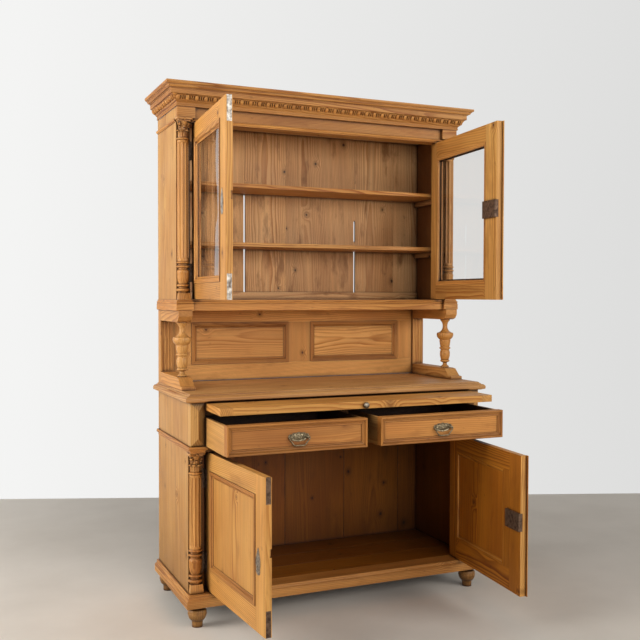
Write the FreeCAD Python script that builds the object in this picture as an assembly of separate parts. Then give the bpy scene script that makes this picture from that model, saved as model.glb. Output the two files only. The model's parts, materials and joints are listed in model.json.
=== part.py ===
import FreeCAD, Part
import math
import os

# Two-part dresser of stripped pine: a cupboard with two drawers and a pull-out board below,
# an open gallery on turned balusters, and a cupboard with two glazed doors above.
# Millimetres. Origin on the floor at the centre of the four feet, X right, Y to the back, Z up.
# A door's sizes are given for the right-hand door when closed; the left one is its mirror image.

# Case in plan
CASE_WIDTH = 1312.0
BASE_DEPTH = 489.0
UPPER_DEPTH = 314.0
FEET_TO_SIDE = 34.0
FEET_TO_FRONT = 29.0
FEET_TO_BACK = 28.0
STILE_WIDTH = 58.0
STILE_DEPTH = 62.0
SIDE_THICKNESS = 20.0
BACK_THICKNESS = 12.0
FLOOR_THICKNESS = 18.0
BLOCK_PROUD = 39.0
RAIL_PROUD = 23.0
RAIL_DEPTH = 58.0
UPPER_BLOCK_PROUD = 25.0
UPPER_RAIL_PROUD = 9.0

# Heights of the layers, from the floor up
FOOT_HEIGHT = 85.0
PLINTH_HEIGHT = 48.0
LOWER_OPENING_HEIGHT = 553.0
BELT_HEIGHT = 26.0
DRAWER_OPENING_HEIGHT = 117.0
BOARD_RAIL_HEIGHT = 23.0
BOARD_SLOT_HEIGHT = 31.0
WORKTOP_HEIGHT = 34.0
GALLERY_FOOT_HEIGHT = 48.0
BALUSTER_HEIGHT = 224.0
GALLERY_HEAD_HEIGHT = 47.0
WAIST_HEIGHT = 44.0
UPPER_OPENING_HEIGHT = 720.0
NECK_BEAD_HEIGHT = 15.0
FRIEZE_HEIGHT = 45.0
CORNICE_HEIGHT = 90.0

# Clearances
DOOR_GAP = 2.0
DOOR_FOOT_GAP = 3.0
MEETING_GAP = 2.0
SLIDE_CLEARANCE = 0.5
PIN_CLEARANCE = 0.3
BOARD_GAP = 2.0
OVERRUN = 1.0

# Largest turn, in radians, of one flat facet of a rounded outline
CHORD_TURN = 0.85

# Feet
FOOT_RADIUS = 38.0
FOOT_SHARES = (
    (0, 0), (0.55, 0), (0.55, 0.15), (0.58, 0.28, 0.10), (0.96, 0.56, 0.12), (0.96, 0.68, 0.20),
    (0.66, 0.88), (0.66, 1), (0, 1),
)

# Overhangs of the horizontal mouldings; outlines run from the wall (0) to the tip (1)
PLINTH_OVERHANG = 19.0
BELT_OVERHANG = 9.0
WORKTOP_OVERHANG = 24.0
WAIST_OVERHANG = 7.0
NECK_BEAD_OVERHANG = 7.0
CORNICE_OVERHANG = 57.0
PLINTH_SHARES = (
    (0, 0), (1, 0), (1, 0.58), (0.88, 0.61), (0.88, 0.68, -0.22), (0.50, 0.86),
    (0.50, 0.90, 0.30), (0.22, 1), (0, 1),
)
BELT_SHARES = (
    (0, 0), (0.15, 0), (0.15, 0.14, -0.25), (0.85, 0.50), (1, 0.56), (1, 0.82, 0.2), (0.55, 1), (0, 1),
)
WORKTOP_SHARES = (
    (0, 0), (0.45, 0), (0.70, 0.10, 0.25), (1, 0.24), (1, 0.44, 0.18), (0.50, 0.72, -0.2),
    (0.34, 0.84), (0.16, 0.84), (0.16, 0.93), (0, 1),
)
WAIST_SHARES = (
    (0, 0), (1, 0), (1, 0.60), (0.70, 0.62), (0.70, 0.68, 0.30), (0.70, 0.84),
    (0.38, 0.86), (0.38, 1), (0, 1),
)
NECK_BEAD_SHARES = ((0, 0), (0.4, 0), (0.4, 0.2, 0.5), (0.4, 0.9), (0.4, 1), (0, 1))
BEAD_FOOT_SHARE = (0.21, 0.245)
BEAD_HEAD_SHARE = (0.47, 0.475)
CORNICE_SHARES = (
    (0, 0), (0.07, 0), (0.07, 0.05, -0.25), (0.17, 0.20), BEAD_FOOT_SHARE, BEAD_HEAD_SHARE,
    (0.58, 0.49), (0.58, 0.70), (0.64, 0.71), (0.64, 0.74, 0.25), (0.82, 0.83), (0.86, 0.83),
    (0.86, 0.86, 0.20), (1, 0.93), (1, 1), (0, 1),
)
TOP_BOARD_THICKNESS = 16.0

# Bead course of the cornice
BEAD_PITCH = 19.0
BEAD_LENGTH_SHARE = 0.78
BEAD_SHARES = ((0.06, 0), (0.06, 0.55), (0.28, 1), (0.72, 1), (0.94, 0.55), (0.94, 0))
BEAD_PROUD = 8.0

# Columns on the stiles
COLUMN_RADIUS = 26.0
LOWER_COLUMN_BLOCK_HEIGHT = 35.0
LOWER_TURNING_HEIGHT = 139.0
LOWER_CAPITAL_HEIGHT = 88.0
UPPER_COLUMN_BLOCK_HEIGHT = 28.0
UPPER_TURNING_HEIGHT = 130.0
UPPER_CAPITAL_HEIGHT = 90.0
COLUMN_BLOCK_WIDTH = 56.0
COLUMN_BLOCK_TOP_WIDTH = 48.0
SHAFT_RADIUS_SHARE = 0.94
FLUTE_COUNT = 5
FLUTE_RADIUS = 8.0
FLUTE_DEPTH = 2.6
FLUTE_MARGIN = 9.0
TURNING_SHARES = (
    (0, 0), (0.84, 0), (0.84, 0.04), (0.90, 0.05, 0.5), (0.90, 0.14), (0.78, 0.15), (0.78, 0.19),
    (0.86, 0.20, 0.5), (0.86, 0.27), (0.74, 0.28, 0.06), (0.98, 0.60, 0.16), (0.84, 0.73), (0.78, 0.74),
    (0.78, 0.78), (0.90, 0.79, 0.5), (0.90, 0.86), (0.80, 0.87), (0.80, 0.91), (0.92, 0.92, 0.5),
    (0.92, 0.98), (0.90, 1), (0, 1),
)
BELL_SHARES = (
    (0, 0), (0.86, 0), (0.92, 0.02, 0.5), (0.92, 0.11), (0.74, 0.13), (0.76, 0.50, -0.08),
    (0.98, 0.84), (0, 0.84),
)
ABACUS_FOOT_SHARE = 0.84
ABACUS_STEP_SHARE = 0.91
ABACUS_WIDTH = 68.0
ABACUS_NECK_WIDTH = 57.0
LEAF_ANGLES = (-66.0, 0.0, 66.0)
LEAF_WIDTH_SHARE = 0.62
LEAF_SHARES = (
    (0.50, 0.14), (0.90, 0.14), (0.88, 0.42, -0.12), (1.14, 0.50, 0.35), (1.20, 0.42, 0.45),
    (1.28, 0.50, 0.25), (0.96, 0.60, 0.12), (0.50, 0.62),
)
VOLUTE_ANGLES = (-48.0, 48.0)
VOLUTE_RADIUS = 8.5
VOLUTE_WIDTH = 11.0
VOLUTE_HEIGHT_SHARE = 0.73
VOLUTE_REACH_SHARE = 1.03

# Blocks over the upper columns and beside the drawers
FRIEZE_BLOCK_WIDTH = 75.0
RIDGE_PROUD = 12.0
RIDGE_HIP_HEIGHT = 33.0

# Gallery
GALLERY_POST_DEPTH = 43.0
GALLERY_TOE_SET_BACK = 93.0
GALLERY_TOE_RUN = 75.0
GALLERY_TOE_SHARES = ((0, 0), (0, 0.29, 0.16), (0.5, 0.62, -0.16), (1, 1))
GALLERY_NOSE_PROUD = 12.0
GALLERY_NOSE_RUN = 33.0
GALLERY_NOSE_SHARES = ((1, 0, -0.15), (0, 0.50), (0, 1))
BALUSTER_RADIUS = 37.0
BALUSTER_SET_BACK = 194.0
BALUSTER_SHARES = (
    (0, 0), (0.51, 0), (0.51, 0.025), (0.26, 0.06), (0.26, 0.10), (0.46, 0.115, 0.45), (0.46, 0.16),
    (0.52, 0.175), (0.56, 0.20, 0.06), (0.60, 0.34), (0.54, 0.355), (0.54, 0.37), (0.61, 0.385, 0.4),
    (0.61, 0.42), (0.56, 0.43), (0.60, 0.445), (0.70, 0.56), (0.66, 0.575), (0.74, 0.59, 0.18),
    (1, 0.72, -0.20), (0.30, 0.86, -0.12), (0.60, 0.98), (0.60, 1), (0, 1),
)
GALLERY_FRAME_THICKNESS = 22.0
GALLERY_SLIT = 3.0
GALLERY_RAIL_HEIGHT = 72.0
GALLERY_TOP_RAIL_HEIGHT = 60.0
GALLERY_STILE_WIDTH = 83.0
GALLERY_MUNTIN_WIDTH = 108.0
GALLERY_PANEL_THICKNESS = 10.0
GALLERY_PANEL_SET_BACK = 8.0
POST_REED_COUNT = 3
POST_REED_RADIUS = 8.0
POST_REED_PROUD_SHARE = 0.7

# Drawer level
MUNTIN_WIDTH = 56.0
RUNNER_THICKNESS = 20.0
RUNNER_WIDTH = 26.0
GUIDE_HEIGHT = 30.0
CENTRE_GUIDE_WIDTH = 44.0

# Back boards and shelves; board edges as shares of the inner width
BASE_BOARD_SHARES = (0, 0.225, 0.451, 0.690, 0.921, 1)
UPPER_BOARD_SHARES = (0, 0.294, 0.453, 0.730, 0.895, 1)
SHELF_THICKNESS = 17.0
SHELF_DEPTH = 232.0
SHELF_TOP_SHARES = (0.340, 0.688)
CLEAT_HEIGHT = 24.0
CLEAT_THICKNESS = 16.0
FLOOR_BOARD_COUNT = 3
BEARER_DEPTH = 48.0

# Doors
DOOR_THICKNESS = 25.0
DOOR_RECESS = 32.0
PIVOT_INSET = 8.0
PIVOT_PROUD = 8.0
LIP_OVERLAP = 9.0
LIP_WIDTH = 19.0
LIP_THICKNESS = 5.0
LIP_REBATE_DEPTH = 1.0
LIP_SWELL_SHARE = -0.12
LOWER_STILE = 83.0
LOWER_HINGE_STILE = 64.0
LOWER_BACKING_WIDTH = 42.0
LOWER_TOP_RAIL = 72.0
LOWER_BOTTOM_RAIL = 86.0
UPPER_STILE = 88.0
UPPER_HINGE_STILE = 50.0
UPPER_TOP_RAIL = 66.0
UPPER_BOTTOM_RAIL = 65.0
PANEL_THICKNESS = 12.0
PANEL_SET_BACK = 7.0
DOOR_MOULDING_WIDTH = 24.0
DOOR_MOULDING_PROUD = 3.0
DOOR_MOULDING_SHARES = (
    (0, 0), (1, 0), (1, 0.18, -0.2), (0.72, 0.46), (0.66, 0.46, 0.3), (0.30, 0.92), (0.24, 1), (0, 1),
)
GLASS_THICKNESS = 3.0
GLASS_SET_BACK = 10.0
INNER_BEAD_WIDTH = 18.0
INNER_BEAD_SHARES = ((0, 0), (1, 0), (1, 0.55, 0.15), (0.78, 1), (0, 1))
LOWER_LEFT_OPEN_ANGLE = 86.0
LOWER_RIGHT_OPEN_ANGLE = 85.0
UPPER_LEFT_OPEN_ANGLE = 94.0
UPPER_RIGHT_OPEN_ANGLE = 85.0

# Hinges
HINGE_HEIGHT = 76.0
HINGE_END_DISTANCE = 70.0
KNUCKLE_RADIUS = 5.5
PIN_RADIUS = 2.5
LEAF_THICKNESS = 2.0
LEAF_WIDTH = 26.0
KNUCKLE_GAP = 0.4

# Bolts in the leading edge of the left doors
BOLT_SIZE = 8.0
BOLT_LENGTH = 78.0
BOLT_THROW = 12.0
BOLT_PLATE_WIDTH = 19.0
BOLT_PLATE_THICKNESS = 2.0
BOLT_PLATE_LENGTH = 92.0
BOLT_HEAD_GAP = 1.0
BOLT_THUMB_RADIUS = 3.0
BOLT_THUMB_PROUD = 1.0
BOLT_THUMB_FROM_END = 66.0

# Box locks on the inner face of the right doors, and what goes with them on the left doors
LOCK_WIDTH = 102.0
LOCK_HEIGHT = 70.0
LOCK_DEPTH = 8.0
LOCK_WALL = 2.5
SELVEDGE_DEPTH = 9.0
LOCK_BOLT_DEPTH = 10.0
LOCK_BOLT_HEIGHT = 22.0
LOCK_BOLT_LENGTH = 52.0
LOCK_BOLT_LET_IN = 7.0
LOCK_BOLT_THROW = 9.0
NOTCH_CLEARANCE = 4.0
LOWER_LOCK_Z = 424.0
UPPER_LOCK_Z = 1650.0
ESCUTCHEON_HEIGHT = 96.0
ESCUTCHEON_WIDTH = 38.0
ESCUTCHEON_THICKNESS = 1.5
ESCUTCHEON_FROM_EDGE = 58.0
LOWER_ESCUTCHEON_Z = 385.0
UPPER_ESCUTCHEON_Z = 1634.0
ESCUTCHEON_SHARES = (
    (0, -0.5), (0.28, -0.47), (0.46, -0.38), (0.40, -0.26), (0.50, -0.12), (0.48, 0.06), (0.32, 0.24),
    (0.20, 0.34), (0.12, 0.44), (0, 0.5),
)
KEYHOLE_RADIUS = 2.6
KEYHOLE_LENGTH = 9.0
KEYHOLE_SHARE = -0.20

# Drawers
DRAWER_OUT = 280.0
FRONT_THICKNESS = 22.0
FRONT_MOULDING_WIDTH = 23.0
FRONT_MOULDING_PROUD = 12.0
FRONT_MOULDING_SHARES = (
    (0, 0), (1, 0), (1, 0.12, 0.30), (0.80, 0.30), (0.74, 0.22), (0.70, 0.30, -0.18), (0.44, 0.78),
    (0.38, 0.70), (0.33, 0.80, 0.28), (0.03, 0.80), (0, 0.70),
)
DRAWER_DEPTH = 440.0
DRAWER_SIDE_HEIGHT = 112.0
DRAWER_WALL = 12.0
DRAWER_BOTTOM = 7.0

# Drawer pulls
PULL_Z_ABOVE_OPENING = 59.0
PLATE_WIDTH = 84.0
PLATE_HEIGHT = 36.0
PLATE_THICKNESS = 2.0
PLATE_SHARES = (
    (-0.5, 0.02), (-0.48, -0.16), (-0.36, -0.24), (-0.30, -0.40), (-0.14, -0.46), (0, -0.5),
    (0.14, -0.46), (0.30, -0.40), (0.36, -0.24), (0.48, -0.16), (0.5, 0.02),
    (0.46, 0.26), (0.34, 0.30), (0.26, 0.42), (0.12, 0.42), (0, 0.5),
    (-0.12, 0.42), (-0.26, 0.42), (-0.34, 0.30), (-0.46, 0.26),
)
POST_SPACING = 66.0
POST_RADIUS = 5.0
POST_PROUD = 14.0
BAIL_WIRE_RADIUS = 2.6
BAIL_SIDE_GAP = 0.4
BAIL_DROP = 31.5
BAIL_SHOULDER_SHARES = ((1, 0.22), (0.52, 1))

# Pull-out board
BOARD_OUT = 202.0
BOARD_DEPTH = 470.0
BOARD_FRONT_PROUD = 8.0
BOARD_CLAMP_WIDTH = 50.0
BOARD_END_CLEARANCE = 2.0
BOARD_TOP_CLEARANCE = 2.0
BOARD_FOOT_CLEARANCE = 0.5
KNOB_RADIUS = 12.0
KNOB_PROUD = 20.0
KNOB_SHARES = (
    (0, 0), (0.62, 0), (0.62, 0.10), (0.42, 0.18), (0.42, 0.30), (0.80, 0.42, 0.28),
    (0.78, 0.84, 0.10), (0, 1),
)

# Planes worked out from the sizes above
FOOT_SPACING_X = CASE_WIDTH - 2 * FEET_TO_SIDE
FOOT_SPACING_Y = BASE_DEPTH + BLOCK_PROUD - FEET_TO_FRONT - FEET_TO_BACK
SIDE_X = CASE_WIDTH / 2
OPENING_X = SIDE_X - STILE_WIDTH
INNER_X = SIDE_X - SIDE_THICKNESS
COLUMN_X = SIDE_X - STILE_WIDTH / 2
BACK_Y = FOOT_SPACING_Y / 2 + FEET_TO_BACK
INNER_BACK_Y = BACK_Y - BACK_THICKNESS
BASE_FRONT_Y = BACK_Y - BASE_DEPTH
BLOCK_FRONT_Y = BASE_FRONT_Y - BLOCK_PROUD
RAIL_FRONT_Y = BASE_FRONT_Y - RAIL_PROUD
RAIL_BACK_Y = RAIL_FRONT_Y + RAIL_DEPTH
UPPER_FRONT_Y = BACK_Y - UPPER_DEPTH
UPPER_BLOCK_Y = UPPER_FRONT_Y - UPPER_BLOCK_PROUD
UPPER_RAIL_Y = UPPER_FRONT_Y - UPPER_RAIL_PROUD
PLINTH_TOP = FOOT_HEIGHT + PLINTH_HEIGHT
BELT_FOOT = PLINTH_TOP + LOWER_OPENING_HEIGHT
BELT_TOP = BELT_FOOT + BELT_HEIGHT
BOARD_RAIL_FOOT = BELT_TOP + DRAWER_OPENING_HEIGHT
SLOT_FOOT = BOARD_RAIL_FOOT + BOARD_RAIL_HEIGHT
SLOT_TOP = SLOT_FOOT + BOARD_SLOT_HEIGHT
WORKTOP_TOP = SLOT_TOP + WORKTOP_HEIGHT
BALUSTER_FOOT = WORKTOP_TOP + GALLERY_FOOT_HEIGHT
BALUSTER_TOP = BALUSTER_FOOT + BALUSTER_HEIGHT
WAIST_FOOT = BALUSTER_TOP + GALLERY_HEAD_HEIGHT
WAIST_TOP = WAIST_FOOT + WAIST_HEIGHT
UPPER_OPENING_TOP = WAIST_TOP + UPPER_OPENING_HEIGHT
FRIEZE_FOOT = UPPER_OPENING_TOP + NECK_BEAD_HEIGHT
CORNICE_FOOT = FRIEZE_FOOT + FRIEZE_HEIGHT
CORNICE_TOP = CORNICE_FOOT + CORNICE_HEIGHT
LEADING_X = MEETING_GAP / 2
HINGE_X = OPENING_X - DOOR_GAP
PIVOT_X = OPENING_X - PIVOT_INSET


def vec(x, y, z):
    return FreeCAD.Vector(x, y, z)


def block(x_pair, y_pair, z_pair):
    """Rectangular solid between two limits on each axis."""
    size = (x_pair[1] - x_pair[0], y_pair[1] - y_pair[0], z_pair[1] - z_pair[0])
    return Part.makeBox(size[0], size[1], size[2], vec(x_pair[0], y_pair[0], z_pair[0]))


def mirrored(shape):
    return shape.mirror(vec(0, 0, 0), vec(1, 0, 0))


def pair(shape):
    """The shape and its mirror image on the other side of the case."""
    return [shape, mirrored(shape)]


def scaled(shares, width, height):
    """Outline points in millimetres from points given as shares of a width and a height."""
    return [(point[0] * width, point[1] * height) + tuple(point[2:]) for point in shares]


def moved(points, x, y):
    """Outline points shifted in their own plane."""
    return [(point[0] + x, point[1] + y) + tuple(point[2:]) for point in points]


def arc_points(first, second):
    """Points strictly inside an arc whose sagitta is a share of the chord, at equal turns along it."""
    chord = (second[0] - first[0], second[1] - first[1])
    length = math.hypot(*chord)
    turn = 4 * math.atan(2 * abs(first[2]))
    steps = math.ceil(turn / CHORD_TURN)
    radius = length / (2 * math.sin(turn / 2))
    middle = ((first[0] + second[0]) / 2, (first[1] + second[1]) / 2)
    along = (chord[0] / length, chord[1] / length)
    side = math.copysign(1, first[2])
    points = []
    for step in range(1, steps):
        angle = turn * step / steps - turn / 2
        run = radius * math.sin(angle)
        rise = radius * (math.cos(angle) - math.cos(turn / 2)) * side
        offset = (along[0] * run + along[1] * rise, along[1] * run - along[0] * rise)
        points.append((middle[0] + offset[0], middle[1] + offset[1]))
    return points


def outline(points, place):
    """Closed wire through the points; a third value swells the next stretch by that share of its chord."""
    ring = []
    for first, second in zip(points, points[1:] + points[:1]):
        ring.append(place(first[0], first[1]))
        if len(first) == 3:
            ring += [place(*point) for point in arc_points(first, second)]
    return Part.makePolygon(ring + ring[:1])


def extruded(points, place, along):
    return Part.Face(outline(points, place)).extrude(along)


def turned(points, x, y, z, degrees=360):
    """Solid of revolution about a vertical axis from (radius, height) points."""
    face = Part.Face(outline(points, lambda radius, height: vec(x + radius, y, z + height)))
    return face.revolve(vec(x, y, z), vec(0, 0, 1), degrees)


def half_turned(points, x, y, z):
    """Half of a turned shape, standing out of the plane Y = y towards the front."""
    return turned(points, x, y, z, -180)


def level_plan(u, v, height):
    """A plan seen from above: u is X, v is Y."""
    return vec(u, v, height)


def front_plan(face_y):
    """An upright plan on a face that looks to the front: u is X, v is Z, height runs outwards."""
    return lambda u, v, height: vec(u, face_y - height, v)


def back_plan(face_y):
    """An upright plan on a face that looks to the back."""
    return lambda u, v, height: vec(u, face_y + height, v)


def mitre(before, after):
    """Offset of a corner for one unit of overhang, from the outward normals on both sides."""
    if before is None or after is None:
        return after or before
    share = 1 / (1 + before[0] * after[0] + before[1] * after[1])
    return ((before[0] + after[0]) * share, (before[1] + after[1]) * share)


def moulding(path, points, plan, foot=0.0, closed=False):
    """Mitred lengths of one profile on the right-hand side of a path, one solid for each straight stretch."""
    ends = path[1:] + path[:1] if closed else path[1:]
    stretches = list(zip(path, ends))
    normals = []
    for start, end in stretches:
        length = math.hypot(end[0] - start[0], end[1] - start[1])
        normals.append(((end[1] - start[1]) / length, (start[0] - end[0]) / length))
    inside = min(point[0] for point in points) - OVERRUN
    outside = max(point[0] for point in points) + OVERRUN
    low = foot + min(point[1] for point in points) - OVERRUN
    high = foot + max(point[1] for point in points) + OVERRUN
    solids = []
    for index, (start, end) in enumerate(stretches):
        normal = normals[index]
        before = normals[index - 1] if closed or index else None
        after = normals[(index + 1) % len(normals)] if closed or index + 1 < len(normals) else None
        first = mitre(before, normal)
        last = mitre(normal, after)
        reach = outside + OVERRUN
        forward = (-normal[1], normal[0])
        tail = (start[0] - forward[0] * reach, start[1] - forward[1] * reach)
        head = (end[0] + forward[0] * reach, end[1] + forward[1] * reach)

        def place(over, height, base=tail, out=normal):
            return plan(base[0] + out[0] * over, base[1] + out[1] * over, foot + height)

        bar = extruded(points, place, plan(*head, 0) - plan(*tail, 0))
        corners = [
            (start[0] + first[0] * inside, start[1] + first[1] * inside),
            (start[0] + first[0] * outside, start[1] + first[1] * outside),
            (end[0] + last[0] * outside, end[1] + last[1] * outside),
            (end[0] + last[0] * inside, end[1] + last[1] * inside),
        ]
        keep = extruded(corners, lambda u, v: plan(u, v, low), plan(0, 0, high) - plan(0, 0, low))
        solids.append(bar.common(keep))
    return solids


def case_path(corner_y, between_y=None):
    """Plan of a moulding round the sides and front, stepping back between the corner blocks."""
    left = [(-SIDE_X, BACK_Y), (-SIDE_X, corner_y)]
    if between_y is not None:
        left += [(-OPENING_X, corner_y), (-OPENING_X, between_y)]
    right = [(-x, y) for x, y in reversed(left)]
    return left + right


def opening_path(x_pair, z_pair):
    """Closed path round an upright opening, with the opening on its right-hand side."""
    return [(x_pair[0], z_pair[0]), (x_pair[0], z_pair[1]), (x_pair[1], z_pair[1]), (x_pair[1], z_pair[0])]


def polyhedron(corners, faces):
    """Solid with flat faces, each given by the names of its corners."""
    walls = []
    for names in faces:
        ring = [corners[name] for name in names]
        walls.append(Part.Face(Part.makePolygon(ring + ring[:1])))
    return Part.makeSolid(Part.makeShell(walls))


def one_solid(shapes):
    """The shapes joined into one solid, without the seams between flush faces."""
    return shapes[0].fuse(shapes[1:]).removeSplitter()


def boards(shares, x_pair, y_pair, z_pair):
    """Upright boards side by side, with a narrow open joint between neighbours."""
    width = x_pair[1] - x_pair[0]
    solids = []
    for index in range(len(shares) - 1):
        left = x_pair[0] + shares[index] * width
        right = x_pair[0] + shares[index + 1] * width
        if index + 2 < len(shares):
            right -= BOARD_GAP
        solids.append(block((left, right), y_pair, z_pair))
    return solids


def feet():
    points = scaled(FOOT_SHARES, FOOT_RADIUS, FOOT_HEIGHT)
    half_x = FOOT_SPACING_X / 2
    half_y = FOOT_SPACING_Y / 2
    return [turned(points, x, y, 0) for x in (-half_x, half_x) for y in (-half_y, half_y)]


def plinth_moulding():
    points = scaled(PLINTH_SHARES, PLINTH_OVERHANG, PLINTH_HEIGHT)
    front = block((-SIDE_X, SIDE_X), (BLOCK_FRONT_Y, RAIL_BACK_Y), (FOOT_HEIGHT, PLINTH_TOP))
    return [front] + moulding(case_path(BLOCK_FRONT_Y), points, level_plan, FOOT_HEIGHT)


def bolt_hole(y, foot, top):
    """Socket in the case for a bolt of a closed left-hand door."""
    half = BOLT_SIZE / 2 + SLIDE_CLEARANCE
    centre = -LEADING_X - BOLT_PLATE_THICKNESS - BOLT_SIZE / 2 - SLIDE_CLEARANCE
    return block((centre - half, centre + half), (y - half, y + half), (foot, top))


def lower_bolt_y():
    return BASE_FRONT_Y + DOOR_RECESS + DOOR_THICKNESS / 2


def upper_bolt_y():
    return UPPER_FRONT_Y + DOOR_RECESS + DOOR_THICKNESS / 2


def base_floor():
    depth = (INNER_BACK_Y - RAIL_BACK_Y) / FLOOR_BOARD_COUNT
    solids = []
    for index in range(FLOOR_BOARD_COUNT):
        near = RAIL_BACK_Y + index * depth
        far = near + depth
        if index + 1 < FLOOR_BOARD_COUNT:
            far -= BOARD_GAP
        solids.append(block((-INNER_X, INNER_X), (near, far), (PLINTH_TOP - FLOOR_THICKNESS, PLINTH_TOP)))
    hole = bolt_hole(lower_bolt_y(), PLINTH_TOP - FLOOR_THICKNESS, PLINTH_TOP + OVERRUN)
    solids = [solid.cut(hole) for solid in solids]
    rear = (INNER_BACK_Y - BEARER_DEPTH, INNER_BACK_Y)
    solids.append(block((-INNER_X, INNER_X), rear, (FOOT_HEIGHT, PLINTH_TOP - FLOOR_THICKNESS)))
    return solids


def base_sides():
    return pair(block((INNER_X, SIDE_X), (BASE_FRONT_Y, BACK_Y), (FOOT_HEIGHT, SLOT_TOP)).cut(
        block((INNER_X, SIDE_X), (BASE_FRONT_Y, RAIL_BACK_Y), (FOOT_HEIGHT, PLINTH_TOP))))


def base_back_boards():
    return boards(BASE_BOARD_SHARES, (-INNER_X, INNER_X), (INNER_BACK_Y, BACK_Y), (FOOT_HEIGHT, SLOT_TOP))


def corner_stiles():
    solids = []
    tiers = ((BASE_FRONT_Y, (PLINTH_TOP, SLOT_TOP)), (UPPER_FRONT_Y, (WAIST_TOP, CORNICE_FOOT)))
    for front_y, levels in tiers:
        solids += pair(block((OPENING_X, INNER_X), (front_y, front_y + STILE_DEPTH), levels))
    return solids


def column_block(x, face_y, foot, height):
    """Square block under a column, narrowing upwards."""
    low = COLUMN_BLOCK_WIDTH / 2
    high = COLUMN_BLOCK_TOP_WIDTH / 2
    top = foot + height
    corners = {
        "a": vec(x - low, face_y, foot), "b": vec(x + low, face_y, foot),
        "c": vec(x + low, face_y - low, foot), "d": vec(x - low, face_y - low, foot),
        "e": vec(x - high, face_y, top), "f": vec(x + high, face_y, top),
        "g": vec(x + high, face_y - high, top), "h": vec(x - high, face_y - high, top),
    }
    return polyhedron(corners, ("abcd", "efgh", "abfe", "cdhg", "bcgf", "adhe"))


def fluted_shaft(x, face_y, foot, height):
    radius = COLUMN_RADIUS * SHAFT_RADIUS_SHARE
    shaft = half_turned([(0, 0), (radius, 0), (radius, height), (0, height)], x, face_y, foot)
    centre = radius + FLUTE_RADIUS - FLUTE_DEPTH
    for index in range(FLUTE_COUNT):
        angle = math.pi * (2 * index + 1) / (2 * FLUTE_COUNT)
        axis = vec(x + centre * math.cos(angle), face_y - centre * math.sin(angle), foot + FLUTE_MARGIN)
        shaft = shaft.cut(Part.makeCylinder(FLUTE_RADIUS, height - 2 * FLUTE_MARGIN, axis))
    return shaft


def leaf(x, face_y, foot, height, degrees):
    """One upright leaf with a curled tip, set at an angle from straight ahead."""
    half = COLUMN_RADIUS * LEAF_WIDTH_SHARE / 2
    points = scaled(LEAF_SHARES, COLUMN_RADIUS, height)
    shape = extruded(points, lambda out, up: vec(x - half, face_y - out, foot + up), vec(2 * half, 0, 0))
    shape.rotate(vec(x, face_y, foot), vec(0, 0, 1), degrees)
    return shape


def volute(x, face_y, foot, height, degrees):
    """Scroll under a corner of the top plate."""
    reach = COLUMN_RADIUS * VOLUTE_REACH_SHARE
    centre = vec(x - VOLUTE_WIDTH / 2, face_y - reach, foot + height * VOLUTE_HEIGHT_SHARE)
    scroll = Part.makeCylinder(VOLUTE_RADIUS, VOLUTE_WIDTH, centre, vec(1, 0, 0))
    scroll.rotate(vec(x, face_y, foot), vec(0, 0, 1), degrees)
    return scroll


def capital(x, face_y, foot, height):
    pieces = [half_turned(scaled(BELL_SHARES, COLUMN_RADIUS, height), x, face_y, foot)]
    pieces += [leaf(x, face_y, foot, height, degrees) for degrees in LEAF_ANGLES]
    pieces += [volute(x, face_y, foot, height, degrees) for degrees in VOLUTE_ANGLES]
    step = foot + height * ABACUS_STEP_SHARE
    neck = (foot + height * ABACUS_FOOT_SHARE, step)
    for width, levels in ((ABACUS_NECK_WIDTH, neck), (ABACUS_WIDTH, (step, foot + height))):
        pieces.append(block((x - width / 2, x + width / 2), (face_y - width / 2, face_y), levels))
    behind = block((x - ABACUS_WIDTH, x + ABACUS_WIDTH), (face_y, face_y + ABACUS_WIDTH), (foot, foot + height))
    return one_solid(pieces).cut(behind)


def column(x, face_y, levels, block_height, turning_height, capital_height):
    foot, top = levels
    turning_foot = foot + block_height
    shaft_foot = turning_foot + turning_height
    capital_foot = top - capital_height
    turning = scaled(TURNING_SHARES, COLUMN_RADIUS, turning_height)
    return [
        column_block(x, face_y, foot, block_height),
        half_turned(turning, x, face_y, turning_foot),
        fluted_shaft(x, face_y, shaft_foot, capital_foot - shaft_foot),
        capital(x, face_y, capital_foot, capital_height),
    ]


def base_columns():
    solids = []
    for x in (-COLUMN_X, COLUMN_X):
        solids += column(x, BASE_FRONT_Y, (PLINTH_TOP, BELT_FOOT), LOWER_COLUMN_BLOCK_HEIGHT,
                         LOWER_TURNING_HEIGHT, LOWER_CAPITAL_HEIGHT)
    return solids


def upper_columns():
    solids = []
    for x in (-COLUMN_X, COLUMN_X):
        solids += column(x, UPPER_FRONT_Y, (WAIST_TOP, FRIEZE_FOOT), UPPER_COLUMN_BLOCK_HEIGHT,
                         UPPER_TURNING_HEIGHT, UPPER_CAPITAL_HEIGHT)
    return solids


def corner_blocks():
    """Blocks with a hipped face that meets in an upright ridge."""
    ridge_y = BLOCK_FRONT_Y - RIDGE_PROUD
    corners = {
        "a": vec(OPENING_X, BLOCK_FRONT_Y, BELT_TOP), "b": vec(SIDE_X, BLOCK_FRONT_Y, BELT_TOP),
        "c": vec(SIDE_X, BLOCK_FRONT_Y, SLOT_TOP), "d": vec(OPENING_X, BLOCK_FRONT_Y, SLOT_TOP),
        "e": vec(OPENING_X, BASE_FRONT_Y, BELT_TOP), "f": vec(SIDE_X, BASE_FRONT_Y, BELT_TOP),
        "g": vec(SIDE_X, BASE_FRONT_Y, SLOT_TOP), "h": vec(OPENING_X, BASE_FRONT_Y, SLOT_TOP),
        "r": vec(COLUMN_X, ridge_y, BELT_TOP + RIDGE_HIP_HEIGHT),
        "s": vec(COLUMN_X, ridge_y, SLOT_TOP - RIDGE_HIP_HEIGHT),
    }
    faces = ("efgh", "abfe", "dcgh", "bcgf", "adhe", "abr", "dcs", "bcsr", "adsr")
    return pair(polyhedron(corners, faces))


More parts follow.
